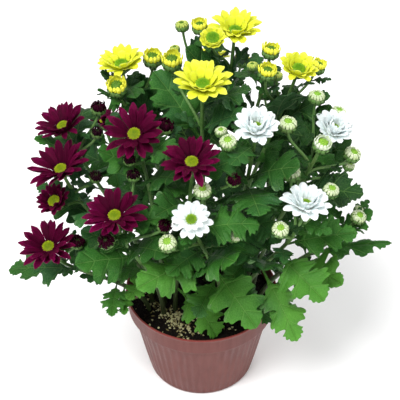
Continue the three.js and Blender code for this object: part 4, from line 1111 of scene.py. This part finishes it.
def add_stalk(skin, handles, foot, top, rng, rings=18, sides=9):
    share = np.linspace(0, 1, rings)
    wobble = 1 + 0.05 * np.sin(share * 31 + rng.uniform(0, 6))
    skin.tube(curve_points(handles, share), lerp(foot, top, share) * wobble, sides, 0.35, STALK_PAINT)


def add_young_leaves(skin, handles, shares, length, rng):
    """Adds small leaves along a stalk, each turned on from the one before."""
    angle = rng.uniform(0, FULL_TURN)
    for share in shares:
        angle += math.radians(GOLDEN_TURN)
        base = curve_points(handles, share)
        pitch = math.radians(rng.uniform(5, 45))
        way = unit([math.cos(angle), math.sin(angle), math.tan(pitch)])
        tip = base + way * length * rng.uniform(0.8, 1.2)
        hint = (rng.normal(0, 0.15), rng.normal(-0.2, 0.15), 1)
        leaf = leaf_to(base, tip, hint, rng.uniform(0.4, 1.0), rng.uniform(0.62, 0.85), rng.random(3))
        add_leaf(skin, leaf, "small", rng)


def plan_stems():
    """The course of each stem, with its node's name and the corners of its solid."""
    stems = []
    for kind, plans in PLANTS.items():
        for root, end, heads, leaves in plans:
            axis = facing(end["lean"])
            foot = np.array([*root, SOIL_CROWN - HOLE_DEPTH], float)
            neck = neck_of(end, axis)
            run = np.linalg.norm(neck - foot)
            handles = (foot, foot + UP * run * STEM["rise"], neck - axis * run * STEM["arrive"], neck)
            name = numbered(kind + "_stem")
            stems.append({
                "kind": kind, "name": name, "heads": [(None, end), *heads], "planned": leaves, "run": run,
                "handles": handles, "chain": Chain(handles, STEM_RINGS), "corners": corners_of(name),
                "leaves": [],
            })
    return stems


def attach(stem, share, tries):
    """Gives a stem the first of some leaves that its solid has, with the way from chain to curve."""
    base, _, beside = stem["chain"].at(share)
    for leaf in tries:
        tip = leaf_point(leaf, 1.0, 0.0)
        if np.min(np.linalg.norm(stem["corners"] - tip, axis=1)) < FOUND:
            stem["leaves"].append((leaf, beside - base))
            return


def grow_leaves(stems):
    """Finds the leaves that the solids have: first the planned ones, then those that grow by rule."""
    draw = stream(SEED)
    for stem in stems:
        for share, tip, lean, width in stem["planned"]:
            draws = [next(draw) for _ in range(3)]
            base = stem["chain"].at(share)[0]
            attach(stem, share, (leaf_to(base, np.add(tip, shift), (0, -lean, 1), LARGE_ARCH, width, draws)
                                 for shift in TIP_SHIFTS))
    for stem in stems:
        room = stem["run"] - LEAF["first"] - LEAF["last"]
        count = math.floor(room / LEAF["spacing"]) + 1
        for i in range(count):
            draws = [next(draw) for _ in range(9)]
            share = (LEAF["first"] + room * i / (count - 1)) / stem["run"]
            attach(stem, share, (ruled_leaf(stem["chain"], share, i, turned, draws) for turned in TURNS))


def add_side_stalk(skin, chain, share, head, axis, rng):
    """Adds the leafy stalk that carries a side head."""
    start, way, beside = chain.at(share)
    neck = neck_of(head, axis)
    pull = STALK["pull"] * np.linalg.norm(neck - start)
    handles = (beside, beside + way * pull, neck - axis * pull, neck)
    add_stalk(skin, handles, STALK["foot"], STALK["top"], rng)
    add_young_leaves(skin, handles, *YOUNG_ON_STALK, rng)


def make_bloom(kind, head, axis, rng):
    """Makes the petals and the eye of a bloom."""
    petals_name, disc_name = numbered(kind + "_petals"), numbered(kind + "_disc")
    petals = Skin(PETALS[kind])
    petals.stand(head["at"], axis)
    add_rays(petals, kind, head, rng)
    piece(petals_name + "_rays", petals, petals_name, 60)
    eye = Skin(EYES[kind])
    eye.stand(head["at"], axis)
    add_disc(eye, kind, rng)
    piece(disc_name + "_florets", eye, disc_name)


def make_stem(stem, rng):
    """Makes a stem with its leaves, stalks, buds and blooms."""
    kind, name, handles = stem["kind"], stem["name"], stem["handles"]
    green = Skin(LEAF_TOP, LEAF_UNDER, STALK_GREEN)
    buds = Skin(HALF_OPEN_PETALS[kind], BUD_EYES[kind], TIGHT_PETALS[kind])
    add_stalk(green, handles, STEM["foot"], STEM["top"], rng, 30, 10)
    for leaf, slip in stem["leaves"]:
        add_leaf(green, leaf, "large", rng, slip)
    add_young_leaves(green, handles, *YOUNG_ON_STEM, rng)
    at_the_back = handles[0][1] > 0
    if at_the_back:
        add_young_leaves(green, handles, *YOUNG_LOW, rng)
    for share, head in stem["heads"]:
        axis = facing(head["lean"])
        if share is not None:
            add_side_stalk(green, stem["chain"], share, head, axis, rng)
        if "reach" in head:
            add_cup(green, kind, head["at"], axis)
            make_bloom(kind, head, axis, rng)
        else:
            add_bud(green, buds, head, axis, BUD_KINDS[kind], rng)
    piece(name + "_foliage", green, name)
    if buds.total:
        piece(name + "_bud_petals", buds, None)


def make_plants():
    stems = plan_stems()
    grow_leaves(stems)
    for number, stem in enumerate(stems):
        make_stem(stem, np.random.default_rng(SEED + number))


# ---------- pot ----------

RIM, POT_HEIGHT, BASE = 70, 94, 50
POT_WALL, POT_FLOOR = 1.6, 3
BAND, TAPER, STEP = 18, 1.2, 1.6  # the collar's height, how far it tapers and how far it stands out
WAIST = 1.5  # how far the body draws in below the collar
RIBS, RIB_DEPTH, RIB_SIDES = 56, 0.7, 8
DRAINS, DRAIN_RADIUS, DRAIN_CIRCLE, DRAIN_SIDES = 4, 5, 31, 24
FLOOR_RADIUS, FLOOR_SIDES = 45.0, 96
BAND_FOOT = POT_HEIGHT - BAND
BODY_TOP = RIM - TAPER - STEP
# The lip's roll, from the collar's top round to the inside, measured from the rim and the pot's height.
LIP = ((0.25, -1.4), (0.3, -0.8), (0, -0.2), (-0.6, 0), (-1.2, -0.2), (-1.6, -0.8))
BODY_LEVELS = (4, 6, 8, 14, 24, 36, 48, 60, 70, 72.5, 74)
COLLAR_LEVELS = (78, 84, 90, 92)


def body_radius(z):
    return lerp(BASE, BODY_TOP, z / BAND_FOOT)


def outside_radius(z):
    """The body draws in a little more below the collar than its inside does."""
    return body_radius(z) - WAIST * smooth(10, 70, z)


def inside_radius(z):
    return body_radius(z) - POT_WALL - RIB_DEPTH


def pot_wall():
    """The ribbed wall with its collar and lip, as one turned skin open at the floor."""
    foot = BASE - 2
    bottom = [(foot - 3, 0), (foot, 0), (foot + 0.9, 0.35), (foot + 1.6, 1.0), (body_radius(2), 2.0)]
    body = [(outside_radius(z), z) for z in BODY_LEVELS]
    under = [(outside_radius(75) + 0.1, 75.3), (BODY_TOP + 0.4, 75.6), (BODY_TOP + 1.3, 75.8),
             (RIM - TAPER, BAND_FOOT + 0.3)]
    collar = [(RIM - TAPER * (POT_HEIGHT - z) / BAND, z) for z in COLLAR_LEVELS]
    lip = [(RIM + out, POT_HEIGHT + up) for out, up in LIP]
    inner = [(RIM - 1.8, 92), (RIM - 2.8, 80), (RIM - 3.6, 77), (inside_radius(74), 74),
             (inside_radius(40), 40), (inside_radius(4), 4.2), (inside_radius(POT_FLOOR) - 1, POT_FLOOR),
             (FLOOR_RADIUS - 1, POT_FLOOR)]
    sides = RIBS * RIB_SIDES
    turn = np.linspace(0, FULL_TURN, sides, endpoint=False)
    groove = RIB_DEPTH * (0.5 - 0.5 * np.cos(RIBS * turn)) ** 0.8
    loops = []
    for i, (radius, z) in enumerate(bottom + body + under + collar + lip + inner):
        ribbed = smooth(2, 6, z) * smooth(74.2, 72, z) if i < len(bottom + body) else 0
        loops.append((radius - ribbed * groove)[:, None] * circle(sides) + z * UP)
    return np.array(loops)


def pot_floor(drains):
    """The points and faces of a round floor with holes in it."""
    made = bmesh.new()
    edges = []
    for loop in [circle(FLOOR_SIDES) * FLOOR_RADIUS, *drains]:
        corners = [made.verts.new(point) for point in loop]
        edges += [made.edges.new((corners[i - 1], corners[i])) for i in range(len(corners))]
    bmesh.ops.triangle_fill(made, use_beauty=True, use_dissolve=False, edges=edges)
    made.verts.index_update()
    flat = np.array([vertex.co[:] for vertex in made.verts])
    faces = np.array([[vertex.index for vertex in face.verts] for face in made.faces])
    made.free()
    a, b, c = flat[faces[0]]
    return flat, faces if np.cross(b - a, c - a)[2] > 0 else faces[:, ::-1]


def make_pot():
    skin = Skin(pot_paint())
    wall = pot_wall()
    skin.add(wall.reshape(-1, 3), hoop_faces(*wall.shape[:2]))
    middles = [DRAIN_CIRCLE * around(FULL_TURN * (i + 0.5) / DRAINS)[0] for i in range(DRAINS)]
    drains = [middle + DRAIN_RADIUS * circle(DRAIN_SIDES) for middle in middles]
    flat, faces = pot_floor(drains)
    skin.add(flat + UP * POT_FLOOR, faces)
    skin.add(flat, faces[:, ::-1])
    for drain in drains:
        skin.add(np.concatenate([drain, drain + UP * POT_FLOOR]), hoop_faces(2, DRAIN_SIDES))
    piece("pot_body", skin, "pot", 40)


# ---------- soil ----------

# The soil falls from its crown to a shoulder and on to its edge. Pairs are radius and height.
SOIL_PROFILE = ((0, 86), (44, 85), (66, 80))
SOIL_NOISES = ((1.3, 3, 0.11), (0.8, 9, 0.33), (0.55, 5, 0.9))  # height, layer and fineness of each
SOIL_SIDES, SOIL_RINGS = 200, 56
SOIL_TOP = 78
CHIPS = 520
CHIP_SEED = 7
CHIP_LEVELS = ((0.5, -0.6), (1, -0.1), (0.85, 0.4), (0.3, 0.65))  # width and height of a chip's rings
# Kinds of chip: the share of them all, two colours, roughness, and the bounds of size and length.
CHIP_KINDS = {
    "bark": (0.4, (14, 10, 8), (46, 34, 24), 0.85, (0.7, 1.7), (1.0, 2.2)),
    "perlite": (0.35, (166, 160, 108), (216, 212, 168), 0.8, (0.5, 1.4), (1.0, 1.3)),
    "fibre": (0.25, (96, 84, 48), (150, 138, 92), 0.8, (0.4, 0.8), (2.0, 4.0)),
}
# Pale flecks lie in a streak at the left front: their share, its middle, its way, its length and width.
FLECKS = {"share": 0.75, "at": (-26, -32), "way": (0.71, -0.71), "long": 17, "wide": 5.5}


def soil_height(x, y):
    """Height of the rough surface, from its edge up to its crown."""
    (_, crown), (shoulder, bend), (rim, edge) = SOIL_PROFILE
    radius = math.hypot(x, y)
    if radius < shoulder:
        base = lerp(crown, bend, radius / shoulder)
    else:
        base = lerp(bend, edge, (radius - shoulder) / (rim - shoulder))
    return base + sum(size * noise.noise(Vector((x, y, layer)) * fine) for size, layer, fine in SOIL_NOISES)


def make_peat():
    """Makes the body of the soil, with its rough top."""
    skin = Skin(soil_paint())
    edge = inside_radius(SOIL_TOP) - 0.1
    loops = [circle(SOIL_SIDES) * (inside_radius(z) - 0.4) + UP * z for z in (POT_FLOOR + 0.3, 40, 74)]
    for i in range(SOIL_RINGS):
        loop = circle(SOIL_SIDES) * lerp(edge, 0.4, i / SOIL_RINGS)
        loop[:, 2] = [soil_height(x, y) for x, y, _ in loop]
        loops.append(loop)
    skin.rings(loops)
    piece("soil_peat", skin, "soil", 80)


def chip_place(pale, rng):
    """Where a chip lies: most of the pale ones in their streak, and the others anywhere."""
    if pale and rng.random() < FLECKS["share"]:
        along, across = rng.normal(0, FLECKS["long"]), rng.normal(0, FLECKS["wide"])
        right, back = FLECKS["way"]
        return np.array(FLECKS["at"]) + along * np.array([right, back]) + across * np.array([-back, right])
    radius = (inside_radius(SOIL_TOP) - 3) * math.sqrt(rng.random())
    return radius * around(rng.uniform(0, FULL_TURN))[0][:2]


def make_chips():
    """Makes the bark, perlite and fibre that lie on the soil."""
    rng = np.random.default_rng(CHIP_SEED)
    shares, darks, lights, rough, sizes, lengths = zip(*CHIP_KINDS.values())
    chips = Skin(*map(chip_paint, CHIP_KINDS, darks, lights, rough))
    for _ in range(CHIPS):
        kind = int(rng.choice(len(shares), p=shares))
        x, y = chip_place(kind > 0, rng)
        if math.hypot(x, y) > inside_radius(SOIL_TOP) - 2:
            continue
        size = [rng.uniform(*bounds) for bounds in sizes][kind]
        long = [rng.uniform(*bounds) for bounds in lengths][kind]
        loops = np.array([circle(6) * (long, 1, 1) * wide + UP * up for wide, up in CHIP_LEVELS]) * size
        loops += rng.normal(0, 0.1 * size, loops.shape)
        chips.stand((x, y, soil_height(x, y) + 0.2 * size), unit(rng.normal(0, 0.35, 3) + UP))
        spin = around(rng.uniform(0, math.pi))
        chips.rings(loops @ np.array([*spin, UP]), 0.5, kind)
    piece("soil_chips", chips, None, 30)


# ---------- floor, light and camera ----------

CAMERA = {"height": 712.4, "back": 653.5, "pitch": 38.3}
# The photo's side, the line that the pot's middle stands on and the focal length, in its pixels.
PHOTO = {"side": 400, "middle": 201.2, "focal": 959.5}
SENSOR = 36
FLOOR_HALF = 4.0  # metres
LAMPS = {  # place in metres, size and power
    "key": ((-0.6, -0.85, 1.85), 0.9, 48),
    "fill": ((1.2, -0.9, 1.1), 1.2, 9),
    "back": ((0.3, 1.3, 1.3), 1.2, 10),
}
LAMP_AIM = (0, 0, 0.18)
SKY = 0.5


def make_floor():
    mesh = bpy.data.meshes.new("floor")
    corners = [(x * FLOOR_HALF, y * FLOOR_HALF, 0) for x, y in ((-1, -1), (1, -1), (1, 1), (-1, 1))]
    mesh.from_pydata(corners, [], [(0, 1, 2, 3)])
    made, tree, shader = new_paint("studio floor", 0.8, 0.1)
    mottle = blend(grain(object_place(tree), 6), (250, 250, 250), (254, 254, 254))
    feed([shader.inputs["Base Color"]], mottle)
    mesh.materials.append(made)
    floor = show("studio_floor", mesh)


def make_lamp(name, place, size, power):
    data = bpy.data.lights.new(name, "AREA")
    data.size = size
    data.energy = power
    lamp = show(name, data)
    lamp.location = place
    lamp.rotation_euler = (Vector(LAMP_AIM) - Vector(place)).to_track_quat("-Z", "Y").to_euler()


def make_camera():
    """The photo's camera: it looks down at the plant from the front."""
    data = bpy.data.cameras.new("camera")
    data.sensor_width = SENSOR
    data.lens = SENSOR * PHOTO["focal"] / PHOTO["side"]
    data.shift_x = 0.5 - PHOTO["middle"] / PHOTO["side"]
    camera = show("camera", data)
    camera.location = (0, -CAMERA["back"] * MM, CAMERA["height"] * MM)
    camera.rotation_euler = (math.radians(90 - CAMERA["pitch"]), 0, 0)
    bpy.context.scene.camera = camera


def make_sky():
    world = bpy.data.worlds.new("studio")
    world.use_nodes = True
    light = world.node_tree.nodes["Background"].inputs
    light["Color"].default_value = (1, 1, 1, 1)
    light["Strength"].default_value = SKY
    bpy.context.scene.world = world


make_plants()
make_pot()
make_peat()
make_chips()
make_floor()
for name, look in LAMPS.items():
    make_lamp(name, *look)
make_camera()
make_sky()
bpy.context.scene.view_settings.view_transform = "Standard"
